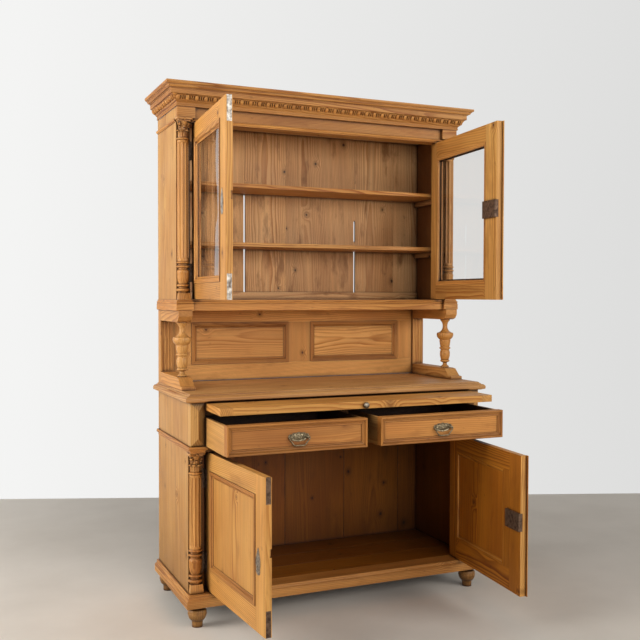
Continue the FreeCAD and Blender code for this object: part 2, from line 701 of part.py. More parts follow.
def belt_moulding():
    points = scaled(BELT_SHARES, BELT_OVERHANG, BELT_HEIGHT)
    levels = (BELT_FOOT, BELT_TOP)
    rail = block((-OPENING_X, OPENING_X), (RAIL_FRONT_Y, BASE_FRONT_Y + STILE_DEPTH), levels)
    rail = rail.cut(bolt_hole(lower_bolt_y(), BELT_FOOT - OVERRUN, BELT_TOP))
    corner = block((OPENING_X, SIDE_X), (BLOCK_FRONT_Y, BASE_FRONT_Y), levels)
    path = case_path(BLOCK_FRONT_Y, RAIL_FRONT_Y)
    return [rail] + pair(corner) + moulding(path, points, level_plan, BELT_FOOT)


def drawer_rails():
    depth = (RAIL_FRONT_Y, RAIL_BACK_Y)
    half = MUNTIN_WIDTH / 2
    return [
        block((-OPENING_X, OPENING_X), depth, (BOARD_RAIL_FOOT, SLOT_FOOT)),
        block((-half, half), depth, (BELT_TOP, BOARD_RAIL_FOOT)),
    ]


def drawer_runners():
    """Runners under both drawers and under the pull-out board, with guides beside the drawers."""
    depth = (BASE_FRONT_Y + STILE_DEPTH, INNER_BACK_Y)
    inner = OPENING_X - RUNNER_WIDTH
    centre = CENTRE_GUIDE_WIDTH / 2
    side = [
        block((inner, INNER_X), depth, (BELT_TOP - RUNNER_THICKNESS, BELT_TOP)),
        block((OPENING_X, INNER_X), depth, (BELT_TOP, BELT_TOP + GUIDE_HEIGHT)),
        block((inner, INNER_X), depth, (SLOT_FOOT - RUNNER_THICKNESS, SLOT_FOOT)),
    ]
    middle = centre + RUNNER_WIDTH
    solids = [
        block((-middle, middle), depth, (BELT_TOP - RUNNER_THICKNESS, BELT_TOP)),
        block((-centre, centre), (RAIL_BACK_Y, INNER_BACK_Y), (BELT_TOP, BELT_TOP + GUIDE_HEIGHT)),
    ]
    for solid in side:
        solids += pair(solid)
    return solids


def shelf_levels():
    return [WAIST_TOP + share * UPPER_OPENING_HEIGHT for share in SHELF_TOP_SHARES]


def shelf_depth():
    return (INNER_BACK_Y - SHELF_DEPTH, INNER_BACK_Y)


def shelf_cleats():
    solids = []
    for top in shelf_levels():
        foot = top - SHELF_THICKNESS
        cleat = block((INNER_X - CLEAT_THICKNESS, INNER_X), shelf_depth(), (foot - CLEAT_HEIGHT, foot))
        solids += pair(cleat)
    return solids


def upper_shelves():
    width = (-INNER_X, INNER_X)
    return [block(width, shelf_depth(), (top - SHELF_THICKNESS, top)) for top in shelf_levels()]


def worktop():
    points = scaled(WORKTOP_SHARES, WORKTOP_OVERHANG, WORKTOP_HEIGHT)
    core = block((-SIDE_X, SIDE_X), (BLOCK_FRONT_Y, BACK_Y), (SLOT_TOP, WORKTOP_TOP))
    return [one_solid([core] + moulding(case_path(BLOCK_FRONT_Y), points, level_plan, SLOT_TOP))]


def gallery_sides():
    """Bottom rail with a swept toe, top rail with a rounded nose, and reeded back post."""
    post_y = BACK_Y - GALLERY_POST_DEPTH
    toe = scaled(GALLERY_TOE_SHARES, GALLERY_TOE_RUN, GALLERY_FOOT_HEIGHT)
    nose = scaled(GALLERY_NOSE_SHARES, GALLERY_NOSE_RUN, GALLERY_HEAD_HEIGHT)
    low = moved(toe, BASE_FRONT_Y + GALLERY_TOE_SET_BACK, WORKTOP_TOP)
    low += [(post_y, BALUSTER_FOOT), (post_y, WORKTOP_TOP)]
    high = moved(nose, UPPER_BLOCK_Y - GALLERY_NOSE_PROUD, BALUSTER_TOP)
    high += [(post_y, WAIST_FOOT), (post_y, BALUSTER_TOP)]
    width = vec(STILE_WIDTH, 0, 0)
    solids = [extruded(points, lambda y, z: vec(OPENING_X, y, z), width) for points in (low, high)]
    post = block((OPENING_X, SIDE_X), (post_y, BACK_Y), (WORKTOP_TOP, WAIST_FOOT))
    pitch = STILE_WIDTH / (POST_REED_COUNT + 1)
    reed_y = post_y - POST_REED_RADIUS * POST_REED_PROUD_SHARE
    for index in range(POST_REED_COUNT):
        axis = vec(OPENING_X + pitch * (index + 1), reed_y, BALUSTER_FOOT)
        post = post.cut(Part.makeCylinder(POST_REED_RADIUS, BALUSTER_HEIGHT, axis))
    mirror_pairs = []
    for solid in solids + [post]:
        mirror_pairs += pair(solid)
    return mirror_pairs


def gallery_openings():
    """Openings of the two panels in the gallery's back frame."""
    left = GALLERY_MUNTIN_WIDTH / 2
    right = OPENING_X - GALLERY_STILE_WIDTH
    levels = (WORKTOP_TOP + GALLERY_SLIT + GALLERY_RAIL_HEIGHT, WAIST_FOOT - GALLERY_TOP_RAIL_HEIGHT)
    return [((-right, -left), levels), ((left, right), levels)]


def gallery_frame_depth():
    return (INNER_BACK_Y - GALLERY_FRAME_THICKNESS, INNER_BACK_Y)


def gallery_back_frame():
    depth = gallery_frame_depth()
    foot = WORKTOP_TOP + GALLERY_SLIT
    (outer, levels) = gallery_openings()[0]
    return [
        block((-OPENING_X, OPENING_X), depth, (foot, levels[0])),
        block((-OPENING_X, OPENING_X), depth, (levels[1], WAIST_FOOT)),
        block((-OPENING_X, outer[0]), depth, levels),
        block((outer[1], -outer[1]), depth, levels),
        block((-outer[0], OPENING_X), depth, levels),
    ]


def gallery_panels():
    near = gallery_frame_depth()[0] + GALLERY_PANEL_SET_BACK
    points = scaled(DOOR_MOULDING_SHARES, DOOR_MOULDING_WIDTH, GALLERY_PANEL_SET_BACK + DOOR_MOULDING_PROUD)
    solids = []
    for x_pair, z_pair in gallery_openings():
        solids.append(block(x_pair, (near, near + GALLERY_PANEL_THICKNESS), z_pair))
        solids += moulding(opening_path(x_pair, z_pair), points, front_plan(near), closed=True)
    return solids


def balusters():
    points = scaled(BALUSTER_SHARES, BALUSTER_RADIUS, BALUSTER_HEIGHT)
    y = BASE_FRONT_Y + BALUSTER_SET_BACK
    return [turned(points, x, y, BALUSTER_FOOT) for x in (-COLUMN_X, COLUMN_X)]


def waist_moulding():
    points = scaled(WAIST_SHARES, WAIST_OVERHANG, WAIST_HEIGHT)
    inner_y = UPPER_FRONT_Y + DOOR_RECESS
    floor_foot = WAIST_TOP - FLOOR_THICKNESS
    front = block((-OPENING_X, OPENING_X), (UPPER_RAIL_Y, inner_y), (WAIST_FOOT, WAIST_TOP))
    front = front.cut(bolt_hole(upper_bolt_y(), WAIST_FOOT, WAIST_TOP + OVERRUN))
    corner = block((OPENING_X, SIDE_X), (UPPER_BLOCK_Y, inner_y), (WAIST_FOOT, WAIST_TOP))
    side = block((OPENING_X, SIDE_X), (inner_y, BACK_Y), (WAIST_FOOT, floor_foot))
    path = case_path(UPPER_BLOCK_Y, UPPER_RAIL_Y)
    return [front] + pair(corner) + pair(side) + moulding(path, points, level_plan, WAIST_FOOT)


def upper_top_and_floor():
    inner_y = UPPER_FRONT_Y + DOOR_RECESS
    floor_foot = WAIST_TOP - FLOOR_THICKNESS
    floor = block((-INNER_X, INNER_X), (inner_y, INNER_BACK_Y), (floor_foot, WAIST_TOP))
    floor = floor.cut(bolt_hole(upper_bolt_y(), floor_foot, WAIST_TOP + OVERRUN))
    top = block((-INNER_X, INNER_X), (UPPER_FRONT_Y + STILE_DEPTH, INNER_BACK_Y),
                (CORNICE_FOOT - FLOOR_THICKNESS, CORNICE_FOOT))
    return [floor, top]


def upper_sides():
    inner_y = UPPER_FRONT_Y + DOOR_RECESS
    side = block((INNER_X, SIDE_X), (UPPER_FRONT_Y, BACK_Y), (WAIST_TOP - FLOOR_THICKNESS, CORNICE_FOOT))
    notch = block((INNER_X, SIDE_X), (UPPER_FRONT_Y, inner_y), (WAIST_TOP - FLOOR_THICKNESS, WAIST_TOP))
    return pair(side.cut(notch))


def upper_back_boards():
    return boards(UPPER_BOARD_SHARES, (-INNER_X, INNER_X), (INNER_BACK_Y, BACK_Y), (WAIST_TOP, CORNICE_FOOT))


def frieze():
    """Rail above the doors, with a small bead at its foot and blocks over the columns."""
    points = scaled(NECK_BEAD_SHARES, NECK_BEAD_OVERHANG, NECK_BEAD_HEIGHT)
    depth = (UPPER_RAIL_Y, UPPER_FRONT_Y + STILE_DEPTH)
    levels = (FRIEZE_FOOT, CORNICE_FOOT)
    rail = block((-OPENING_X, OPENING_X), depth, (UPPER_OPENING_TOP, CORNICE_FOOT))
    rail = rail.cut(bolt_hole(upper_bolt_y(), UPPER_OPENING_TOP - OVERRUN, FRIEZE_FOOT + BOLT_THROW))
    over_column = one_solid([
        block((OPENING_X, SIDE_X), (UPPER_BLOCK_Y, UPPER_FRONT_Y), levels),
        block((SIDE_X - FRIEZE_BLOCK_WIDTH, OPENING_X), (UPPER_BLOCK_Y, UPPER_RAIL_Y), levels),
    ])
    inset = (ABACUS_WIDTH - STILE_WIDTH) / 2
    edge = OPENING_X - inset
    over_plate = block((edge, OPENING_X), (UPPER_RAIL_Y, UPPER_FRONT_Y), (UPPER_OPENING_TOP, FRIEZE_FOOT))
    rail = rail.cut(pair(over_plate))
    beads = moulding([(-edge, UPPER_RAIL_Y), (edge, UPPER_RAIL_Y)], points, level_plan, UPPER_OPENING_TOP)
    side = moulding([(SIDE_X, UPPER_FRONT_Y + inset), (SIDE_X, BACK_Y)], points, level_plan, UPPER_OPENING_TOP)
    return [rail] + pair(over_column) + beads + pair(side[0])


def cornice_mouldings():
    """Cornice round three sides, with a board under it behind the front and a lid."""
    points = scaled(CORNICE_SHARES, CORNICE_OVERHANG, CORNICE_HEIGHT)
    solids = moulding(case_path(UPPER_BLOCK_Y), points, level_plan, CORNICE_FOOT)
    width = (-SIDE_X, SIDE_X)
    board_levels = (CORNICE_FOOT, CORNICE_FOOT + TOP_BOARD_THICKNESS)
    solids.append(block(width, (UPPER_BLOCK_Y, UPPER_FRONT_Y), board_levels))
    solids.append(block(width, (UPPER_BLOCK_Y, BACK_Y), (CORNICE_TOP - TOP_BOARD_THICKNESS, CORNICE_TOP)))
    return solids


def cornice_bead_course():
    """Row of rounded blocks on the sloping bed between the two halves of the cornice."""
    foot = (BEAD_FOOT_SHARE[0] * CORNICE_OVERHANG, BEAD_FOOT_SHARE[1] * CORNICE_HEIGHT)
    head = (BEAD_HEAD_SHARE[0] * CORNICE_OVERHANG, BEAD_HEAD_SHARE[1] * CORNICE_HEIGHT)
    rise = (head[0] - foot[0], head[1] - foot[1])
    slope = math.hypot(rise[0], rise[1])
    out = (rise[1] / slope, -rise[0] / slope)
    bead = [
        (foot[0] + rise[0] * a + out[0] * b * BEAD_PROUD, foot[1] + rise[1] * a + out[1] * b * BEAD_PROUD)
        for a, b in BEAD_SHARES
    ]
    length = BEAD_PITCH * BEAD_LENGTH_SHARE
    path = case_path(UPPER_BLOCK_Y)
    solids = []
    for start, end in zip(path, path[1:]):
        run = math.hypot(end[0] - start[0], end[1] - start[1])
        forward = ((end[0] - start[0]) / run, (end[1] - start[1]) / run)
        normal = (forward[1], -forward[0])
        margin_start = 0 if start[1] == BACK_Y else -foot[0]
        margin_end = 0 if end[1] == BACK_Y else -foot[0]
        usable = run - margin_start - margin_end
        count = int(usable / BEAD_PITCH)
        pitch = usable / count
        for index in range(count):
            at = margin_start + (pitch * (2 * index + 1) - length) / 2
            base = (start[0] + forward[0] * at, start[1] + forward[1] * at)

            def place(over, height, base=base, normal=normal):
                return vec(base[0] + normal[0] * over, base[1] + normal[1] * over, CORNICE_FOOT + height)

            solids.append(extruded(bead, place, vec(forward[0] * length, forward[1] * length, 0)))
    return solids


class Door:
    """Sizes of one tier of doors, for the closed right-hand door."""

    def __init__(self, front_y, levels, stiles, rails, backing, lock_z, escutcheon_z):
        self.outer = front_y + DOOR_RECESS
        self.inner = self.outer + DOOR_THICKNESS
        self.foot = levels[0] + DOOR_FOOT_GAP
        self.top = levels[1] - DOOR_GAP
        self.open_x = (LEADING_X + stiles[0], HINGE_X - stiles[1])
        self.open_z = (self.foot + rails[0], self.top - rails[1])
        self.backing = backing
        self.lock_z = lock_z
        self.escutcheon_z = escutcheon_z
        self.middle_y = (self.outer + self.inner) / 2


LOWER_DOOR = Door(
    BASE_FRONT_Y, (PLINTH_TOP, BELT_FOOT), (LOWER_STILE, LOWER_HINGE_STILE),
    (LOWER_BOTTOM_RAIL, LOWER_TOP_RAIL), LOWER_BACKING_WIDTH, LOWER_LOCK_Z, LOWER_ESCUTCHEON_Z,
)
UPPER_DOOR = Door(
    UPPER_FRONT_Y, (WAIST_TOP, UPPER_OPENING_TOP), (UPPER_STILE, UPPER_HINGE_STILE),
    (UPPER_BOTTOM_RAIL, UPPER_TOP_RAIL), 0, UPPER_LOCK_Z, UPPER_ESCUTCHEON_Z,
)


def hinge_feet(door):
    """Lower ends of a door's two hinges."""
    return (door.foot + HINGE_END_DISTANCE, door.top - HINGE_END_DISTANCE - HINGE_HEIGHT)


def knuckle(door, foot, top):
    return Part.makeCylinder(KNUCKLE_RADIUS, top - foot, vec(PIVOT_X, door.outer - PIVOT_PROUD, foot))


def carcass_hinge(door, foot):
    """Leaf on the stile's reveal, the two outer knuckles and the pin."""
    third = HINGE_HEIGHT / 3
    top = foot + HINGE_HEIGHT
    pivot_y = door.outer - PIVOT_PROUD
    leaf_depth = (door.outer - LEAF_WIDTH, door.outer - LEAF_THICKNESS)
    leaf_plate = block((OPENING_X - LEAF_THICKNESS, OPENING_X), leaf_depth, (foot, top))
    pieces = [leaf_plate]
    for levels in ((foot, foot + third), (top - third, top)):
        pieces.append(knuckle(door, levels[0], levels[1]))
        web_depth = (pivot_y - LEAF_THICKNESS / 2, pivot_y + LEAF_THICKNESS / 2)
        pieces.append(block((PIVOT_X, OPENING_X), web_depth, levels))
    pieces.append(Part.makeCylinder(PIN_RADIUS, third, vec(PIVOT_X, pivot_y, foot + third)))
    return one_solid(pieces)


def carcass_hinges():
    solids = []
    for door in (LOWER_DOOR, UPPER_DOOR):
        for foot in hinge_feet(door):
            solids += pair(carcass_hinge(door, foot))
    return solids


def door_hinge(door, foot):
    """Leaf on the door's face and the middle knuckle round the pin."""
    third = HINGE_HEIGHT / 3
    levels = (foot + third + KNUCKLE_GAP, foot + 2 * third - KNUCKLE_GAP)
    pivot_y = door.outer - PIVOT_PROUD
    barrel = knuckle(door, levels[0], levels[1])
    web_start = PIVOT_X - KNUCKLE_RADIUS
    web = block((web_start, web_start + LEAF_THICKNESS), (pivot_y, door.outer), levels)
    plate_depth = (door.outer - LEAF_THICKNESS, door.outer)
    plate = block((PIVOT_X - LEAF_WIDTH, PIVOT_X), plate_depth, (foot, foot + HINGE_HEIGHT))
    bore = Part.makeCylinder(PIN_RADIUS + PIN_CLEARANCE, HINGE_HEIGHT, vec(PIVOT_X, pivot_y, foot))
    return one_solid([barrel, web, plate]).cut(bore)


def lock_bolt_limits(door, extra):
    """Room for a lock's bolt, retracted, with some extra width on every side."""
    x_start = LEADING_X + SLIDE_CLEARANCE
    y_near = door.inner - LOCK_BOLT_LET_IN
    half = LOCK_BOLT_HEIGHT / 2
    return (
        (x_start, x_start + LOCK_BOLT_LENGTH + extra),
        (y_near - extra, y_near + LOCK_BOLT_DEPTH + extra),
        (door.lock_z - half - extra, door.lock_z + half + extra),
    )


def edge_bolt_levels(door, at_top):
    """Foot and top of an edge bolt with its length inside the door."""
    if at_top:
        return (door.top - BOLT_HEAD_GAP - BOLT_LENGTH, door.top - BOLT_HEAD_GAP)
    return (door.foot + BOLT_HEAD_GAP, door.foot + BOLT_HEAD_GAP + BOLT_LENGTH)


def edge_bolt_x():
    near = LEADING_X + BOLT_PLATE_THICKNESS + SLIDE_CLEARANCE
    return (near, near + BOLT_SIZE)


def edge_plate_levels(door, at_top):
    if at_top:
        return (door.top - BOLT_PLATE_LENGTH, door.top)
    return (door.foot, door.foot + BOLT_PLATE_LENGTH)


def left_edge_cuts(door):
    """What is cut out of the leading stile of a left-hand door."""
    half_plate = BOLT_PLATE_WIDTH / 2
    half_bolt = BOLT_SIZE / 2 + SLIDE_CLEARANCE
    near, far = edge_bolt_x()
    cuts = []
    for at_top in (True, False):
        levels = edge_plate_levels(door, at_top)
        plate_y = (door.middle_y - half_plate, door.middle_y + half_plate)
        bolt_y = (door.middle_y - half_bolt, door.middle_y + half_bolt)
        foot, top = levels
        if at_top:
            top += OVERRUN
        else:
            foot -= OVERRUN
        cuts.append(block((LEADING_X - OVERRUN, LEADING_X + BOLT_PLATE_THICKNESS), plate_y, (foot, top)))
        cuts.append(block((LEADING_X, far + SLIDE_CLEARANCE), bolt_y, (foot, top)))
    bolt_z = lock_bolt_limits(door, NOTCH_CLEARANCE)[2]
    notch_y = (door.inner - LOCK_BOLT_LET_IN - SLIDE_CLEARANCE, door.inner + OVERRUN)
    cuts.append(block((LEADING_X - OVERRUN, LEADING_X + LOCK_BOLT_THROW + SLIDE_CLEARANCE), notch_y, bolt_z))
    rebate_x = (LEADING_X - OVERRUN, LEADING_X + LIP_OVERLAP)
    rebate_y = (door.outer - OVERRUN, door.outer + LIP_REBATE_DEPTH)
    cuts.append(block(rebate_x, rebate_y, (door.foot - OVERRUN, door.top + OVERRUN)))
    return cuts


def right_edge_cuts(door):
    """Seat of the lock's edge plate and channel of its bolt in a right-hand door."""
    half = LOCK_HEIGHT / 2
    plate_depth = (door.inner - SELVEDGE_DEPTH, door.inner + OVERRUN)
    plate_levels = (door.lock_z - half, door.lock_z + half)
    plate = block((LEADING_X - OVERRUN, LEADING_X + LOCK_WALL), plate_depth, plate_levels)
    x_pair, y_pair, z_pair = lock_bolt_limits(door, SLIDE_CLEARANCE)
    channel = block(x_pair, (y_pair[0], door.inner + OVERRUN), z_pair)
    return [plate, channel]


def door_frame(door, is_left):
    """Stiles and rails, with a strip behind the panel for the lock and one that covers the doors' joint."""
    depth = (door.outer, door.inner)
    full = (door.foot, door.top)
    leading = block((LEADING_X, door.open_x[0]), depth, full)
    leading = leading.cut(left_edge_cuts(door) if is_left else right_edge_cuts(door))
    solids = [
        leading,
        block((door.open_x[1], HINGE_X), depth, full),
        block(door.open_x, depth, (door.foot, door.open_z[0])),
        block(door.open_x, depth, (door.open_z[1], door.top)),
    ]
    if door.backing:
        near = door.outer + PANEL_SET_BACK + PANEL_THICKNESS
        start = door.open_x[0]
        solids.append(block((start, start + door.backing), (near, door.inner), door.open_z))
    if not is_left:
        solids.append(cover_strip(door))
    return solids


def cover_strip(door):
    """Rounded strip that covers the joint between the doors."""
    start = -LEADING_X - LIP_OVERLAP + SLIDE_CLEARANCE
    width = LIP_WIDTH
    low = door.outer
    tip = door.outer - LIP_THICKNESS
    edge = (low + tip) / 2
    points = [(start, low), (start + width, low), (start + width, edge, LIP_SWELL_SHARE), (start, edge)]
    return extruded(points, lambda x, y: vec(x, y, door.foot), vec(0, 0, door.top - door.foot))


def lower_door_panel(door):
    near = door.outer + PANEL_SET_BACK
    return [block(door.open_x, (near, near + PANEL_THICKNESS), door.open_z)]


def lower_door_moulding(door):
    points = scaled(DOOR_MOULDING_SHARES, DOOR_MOULDING_WIDTH, PANEL_SET_BACK + DOOR_MOULDING_PROUD)
    plan = front_plan(door.outer + PANEL_SET_BACK)
    return moulding(opening_path(door.open_x, door.open_z), points, plan, closed=True)


def upper_door_glass(door):
    near = door.outer + GLASS_SET_BACK
    return [block(door.open_x, (near, near + GLASS_THICKNESS), door.open_z)]


def upper_door_beads(door):
    """Moulding before the glass and thin beads behind it."""
    path = opening_path(door.open_x, door.open_z)
    near = door.outer + GLASS_SET_BACK
    far = near + GLASS_THICKNESS
    outer = scaled(DOOR_MOULDING_SHARES, DOOR_MOULDING_WIDTH, GLASS_SET_BACK + DOOR_MOULDING_PROUD)
    inner = scaled(INNER_BEAD_SHARES, INNER_BEAD_WIDTH, door.inner - far)
    return (moulding(path, outer, front_plan(near), closed=True)
            + moulding(path, inner, back_plan(far), closed=True))


def edge_plate(door, at_top):
    """Plate of an edge bolt, with the slot for its thumb piece."""
    half = BOLT_PLATE_WIDTH / 2
    levels = edge_plate_levels(door, at_top)
    width = (LEADING_X, LEADING_X + BOLT_PLATE_THICKNESS)
    plate = block(width, (door.middle_y - half, door.middle_y + half), levels)
    thumb = thumb_z(door, at_top)
    travel = BOLT_THROW if at_top else -BOLT_THROW
    slot_half = BOLT_THUMB_RADIUS + SLIDE_CLEARANCE
    low = min(thumb, thumb + travel) - slot_half
    high = max(thumb, thumb + travel) + slot_half
    slot = block((LEADING_X - OVERRUN, LEADING_X + BOLT_PLATE_THICKNESS + OVERRUN),
                 (door.middle_y - slot_half, door.middle_y + slot_half), (low, high))
    return plate.cut(slot)


def thumb_z(door, at_top):
    foot, top = edge_bolt_levels(door, at_top)
    return top - BOLT_THUMB_FROM_END if at_top else foot + BOLT_THUMB_FROM_END


def edge_bolt(door, at_top):
    """Square bar with a round thumb piece through the plate's slot."""
    half = BOLT_SIZE / 2
    near, far = edge_bolt_x()
    depth = (door.middle_y - half, door.middle_y + half)
    bar = block((near, far), depth, edge_bolt_levels(door, at_top))
    start = vec(LEADING_X + BOLT_THUMB_PROUD / 2, door.middle_y, thumb_z(door, at_top))
    thumb = Part.makeCylinder(BOLT_THUMB_RADIUS, near - start.x + BOLT_THUMB_PROUD, start, vec(1, 0, 0))
    return one_solid([bar, thumb])


def escutcheon(door):
    """Long shaped plate with a keyhole, on the outer face of a left-hand door."""
    x = LEADING_X + ESCUTCHEON_FROM_EDGE
    half_outline = scaled(ESCUTCHEON_SHARES, ESCUTCHEON_WIDTH, ESCUTCHEON_HEIGHT)
    other_half = [(-point[0], point[1]) for point in reversed(half_outline[1:-1])]
    points = [point[:2] for point in half_outline] + other_half
    thickness = vec(0, -ESCUTCHEON_THICKNESS, 0)
    plate = extruded(points, lambda a, b: vec(x + a, door.outer, door.escutcheon_z + b), thickness)
    key_z = door.escutcheon_z + KEYHOLE_SHARE * ESCUTCHEON_HEIGHT
    start = vec(x, door.outer + OVERRUN, key_z)
    round_hole = Part.makeCylinder(KEYHOLE_RADIUS, ESCUTCHEON_THICKNESS + 2 * OVERRUN, start, vec(0, -1, 0))
    half_slot = KEYHOLE_RADIUS / 2
    slot_depth = (door.outer - ESCUTCHEON_THICKNESS - OVERRUN, door.outer + OVERRUN)
    slot = block((x - half_slot, x + half_slot), slot_depth, (key_z - KEYHOLE_LENGTH, key_z))
    return plate.cut([round_hole, slot])


def lock_case(door):
    """Box lock on the inner face, with its edge plate, open where the bolt runs."""
    half = LOCK_HEIGHT / 2
    levels = (door.lock_z - half, door.lock_z + half)
    case = block((LEADING_X, LEADING_X + LOCK_WIDTH), (door.inner, door.inner + LOCK_DEPTH), levels)
    plate_depth = (door.inner - SELVEDGE_DEPTH, door.inner + LOCK_DEPTH)
    plate = block((LEADING_X, LEADING_X + LOCK_WALL), plate_depth, levels)
    x_pair, y_pair, z_pair = lock_bolt_limits(door, SLIDE_CLEARANCE)
    channel = block((LEADING_X - OVERRUN, x_pair[1]), y_pair, z_pair)
    return one_solid([case, plate]).cut(channel)


def lock_bolt(door):
    return [block(*lock_bolt_limits(door, 0))]


def door_ironwork(door, is_left):
    solids = [door_hinge(door, foot) for foot in hinge_feet(door)]
    if is_left:
        solids += [edge_plate(door, at_top) for at_top in (True, False)]
        solids.append(escutcheon(door))
    else:
        solids.append(lock_case(door))
    return solids


def hung(solids, door, is_left, degrees):
    """Solids of a closed right-hand door, put on their side of the case and swung open."""
    placed = []
    side = -1 if is_left else 1
    for solid in solids:
        shape = mirrored(solid) if is_left else solid
        shape = shape.copy()
        shape.rotate(vec(side * PIVOT_X, door.outer - PIVOT_PROUD, 0), vec(0, 0, 1), side * degrees)
        placed.append(shape)
    return placed


def door_nodes(tier, door, is_left, degrees):
    """All nodes of one door, by name."""
    prefix = tier + ("_left" if is_left else "_right")
    nodes = {
        prefix + "_door_frame": door_frame(door, is_left),
        prefix + "_door_ironwork": door_ironwork(door, is_left),
    }
    if tier == "lower":
        nodes[prefix + "_door_panel"] = lower_door_panel(door)
        nodes[prefix + "_door_moulding"] = lower_door_moulding(door)
    else:
        nodes[prefix + "_door_glass"] = upper_door_glass(door)
        nodes[prefix + "_door_beads"] = upper_door_beads(door)
    if is_left:
        nodes[prefix + "_top_bolt"] = [edge_bolt(door, True)]
        nodes[prefix + "_bottom_bolt"] = [edge_bolt(door, False)]
    else:
        nodes[prefix + "_lock_bolt"] = lock_bolt(door)
    return {name: hung(solids, door, is_left, degrees) for name, solids in nodes.items()}


def drawer_x():
    """Limits of the right-hand drawer's front across its opening."""
    return (MUNTIN_WIDTH / 2 + DOOR_GAP / 2, OPENING_X - DOOR_GAP)


def drawer_box():
    """Sides, back and bottom of the right-hand drawer when closed."""
    left, right = drawer_x()
    near = RAIL_FRONT_Y + FRONT_THICKNESS
    far = near + DRAWER_DEPTH
    foot = BELT_TOP + SLIDE_CLEARANCE
    levels = (foot, foot + DRAWER_SIDE_HEIGHT)
    inner = (left + DRAWER_WALL, right - DRAWER_WALL)
    bottom_top = foot + DRAWER_WALL + DRAWER_BOTTOM
    return [
        block((left, inner[0]), (near, far), levels),
        block((inner[1], right), (near, far), levels),
        block(inner, (far - DRAWER_WALL, far), (bottom_top, levels[1])),
        block(inner, (near, far), (bottom_top - DRAWER_BOTTOM, bottom_top)),
    ]


def drawer_front():
    """Front board with a raised moulding round its edge."""
    x_pair = drawer_x()
    z_pair = (BELT_TOP + DOOR_GAP, BOARD_RAIL_FOOT - DOOR_GAP)
    points = scaled(FRONT_MOULDING_SHARES, FRONT_MOULDING_WIDTH, FRONT_MOULDING_PROUD)
    board = block(x_pair, (RAIL_FRONT_Y, RAIL_FRONT_Y + FRONT_THICKNESS), z_pair)
    return [board] + moulding(opening_path(x_pair, z_pair), points, front_plan(RAIL_FRONT_Y), closed=True)


def pull_centre():
    left, right = drawer_x()
    return (left + right) / 2, BELT_TOP + PULL_Z_ABOVE_OPENING


def bail_y():
    return RAIL_FRONT_Y - PLATE_THICKNESS - POST_PROUD + POST_RADIUS


def pull_plate():
    """Shaped plate with two posts that are bored for the bail."""
    x, z = pull_centre()
    points = scaled(PLATE_SHARES, PLATE_WIDTH, PLATE_HEIGHT)
    pieces = [extruded(points, lambda a, b: vec(x + a, RAIL_FRONT_Y, z + b), vec(0, -PLATE_THICKNESS, 0))]
    for side in (-1, 1):
        foot = vec(x + side * POST_SPACING / 2, RAIL_FRONT_Y - PLATE_THICKNESS / 2, z)
        pieces.append(Part.makeCylinder(POST_RADIUS, POST_PROUD + PLATE_THICKNESS / 2, foot, vec(0, -1, 0)))
    start = vec(x - PLATE_WIDTH, bail_y(), z)
    bore = Part.makeCylinder(BAIL_WIRE_RADIUS + PIN_CLEARANCE, 2 * PLATE_WIDTH, start, vec(1, 0, 0))
    return [one_solid(pieces).cut(bore)]


def bail():
    """Hanging handle of bent wire, with a pin at each end that turns in a post."""
    x, z = pull_centre()
    half = POST_SPACING / 2 + POST_RADIUS + BAIL_SIDE_GAP + BAIL_WIRE_RADIUS
    pin = half - POST_SPACING / 2 + POST_RADIUS
    left = [(pin - half, 0), (-half, 0)] + [(-a * half, -b * BAIL_DROP) for a, b in BAIL_SHOULDER_SHARES]
    corners = [vec(x + a, bail_y(), z + b) for a, b in left + [(-a, b) for a, b in reversed(left)]]
    ring = Part.Wire([Part.Circle(corners[0], vec(1, 0, 0), BAIL_WIRE_RADIUS).toShape()])
    return [Part.Wire(Part.makePolygon(corners)).makePipeShell([ring], True, False, 1)]


def drawer_nodes(is_left):
    side = "left" if is_left else "right"
    nodes = {
        "drawer_" + side + "_box": drawer_box(),
        "drawer_" + side + "_front": drawer_front(),
        "drawer_" + side + "_pull_plate": pull_plate(),
        "drawer_" + side + "_bail": bail(),
    }
    placed = {}
    for name, solids in nodes.items():
        shapes = [mirrored(solid) if is_left else solid for solid in solids]
        placed[name] = [shape.translated(vec(0, -DRAWER_OUT, 0)) for shape in shapes]
    return placed


def board_levels():
    return (SLOT_FOOT + BOARD_FOOT_CLEARANCE, SLOT_TOP - BOARD_TOP_CLEARANCE)


def board_front_y():
    return RAIL_FRONT_Y - BOARD_FRONT_PROUD - BOARD_OUT


def slide_board():
    """Pull-out board with clamped ends."""
    near = board_front_y()
    depth = (near, near + BOARD_DEPTH)
    edge = OPENING_X - BOARD_END_CLEARANCE
    clamp = edge - BOARD_CLAMP_WIDTH
    middle = block((-clamp, clamp), depth, board_levels())
    return [middle] + pair(block((clamp, edge), depth, board_levels()))


def slide_board_knob():
    z = sum(board_levels()) / 2
    points = scaled(KNOB_SHARES, KNOB_RADIUS, KNOB_PROUD)
    near = board_front_y()
    face = Part.Face(outline(points, lambda radius, out: vec(radius, near - out, z)))
    return [face.revolve(vec(0, near, z), vec(0, 1, 0), 360)]


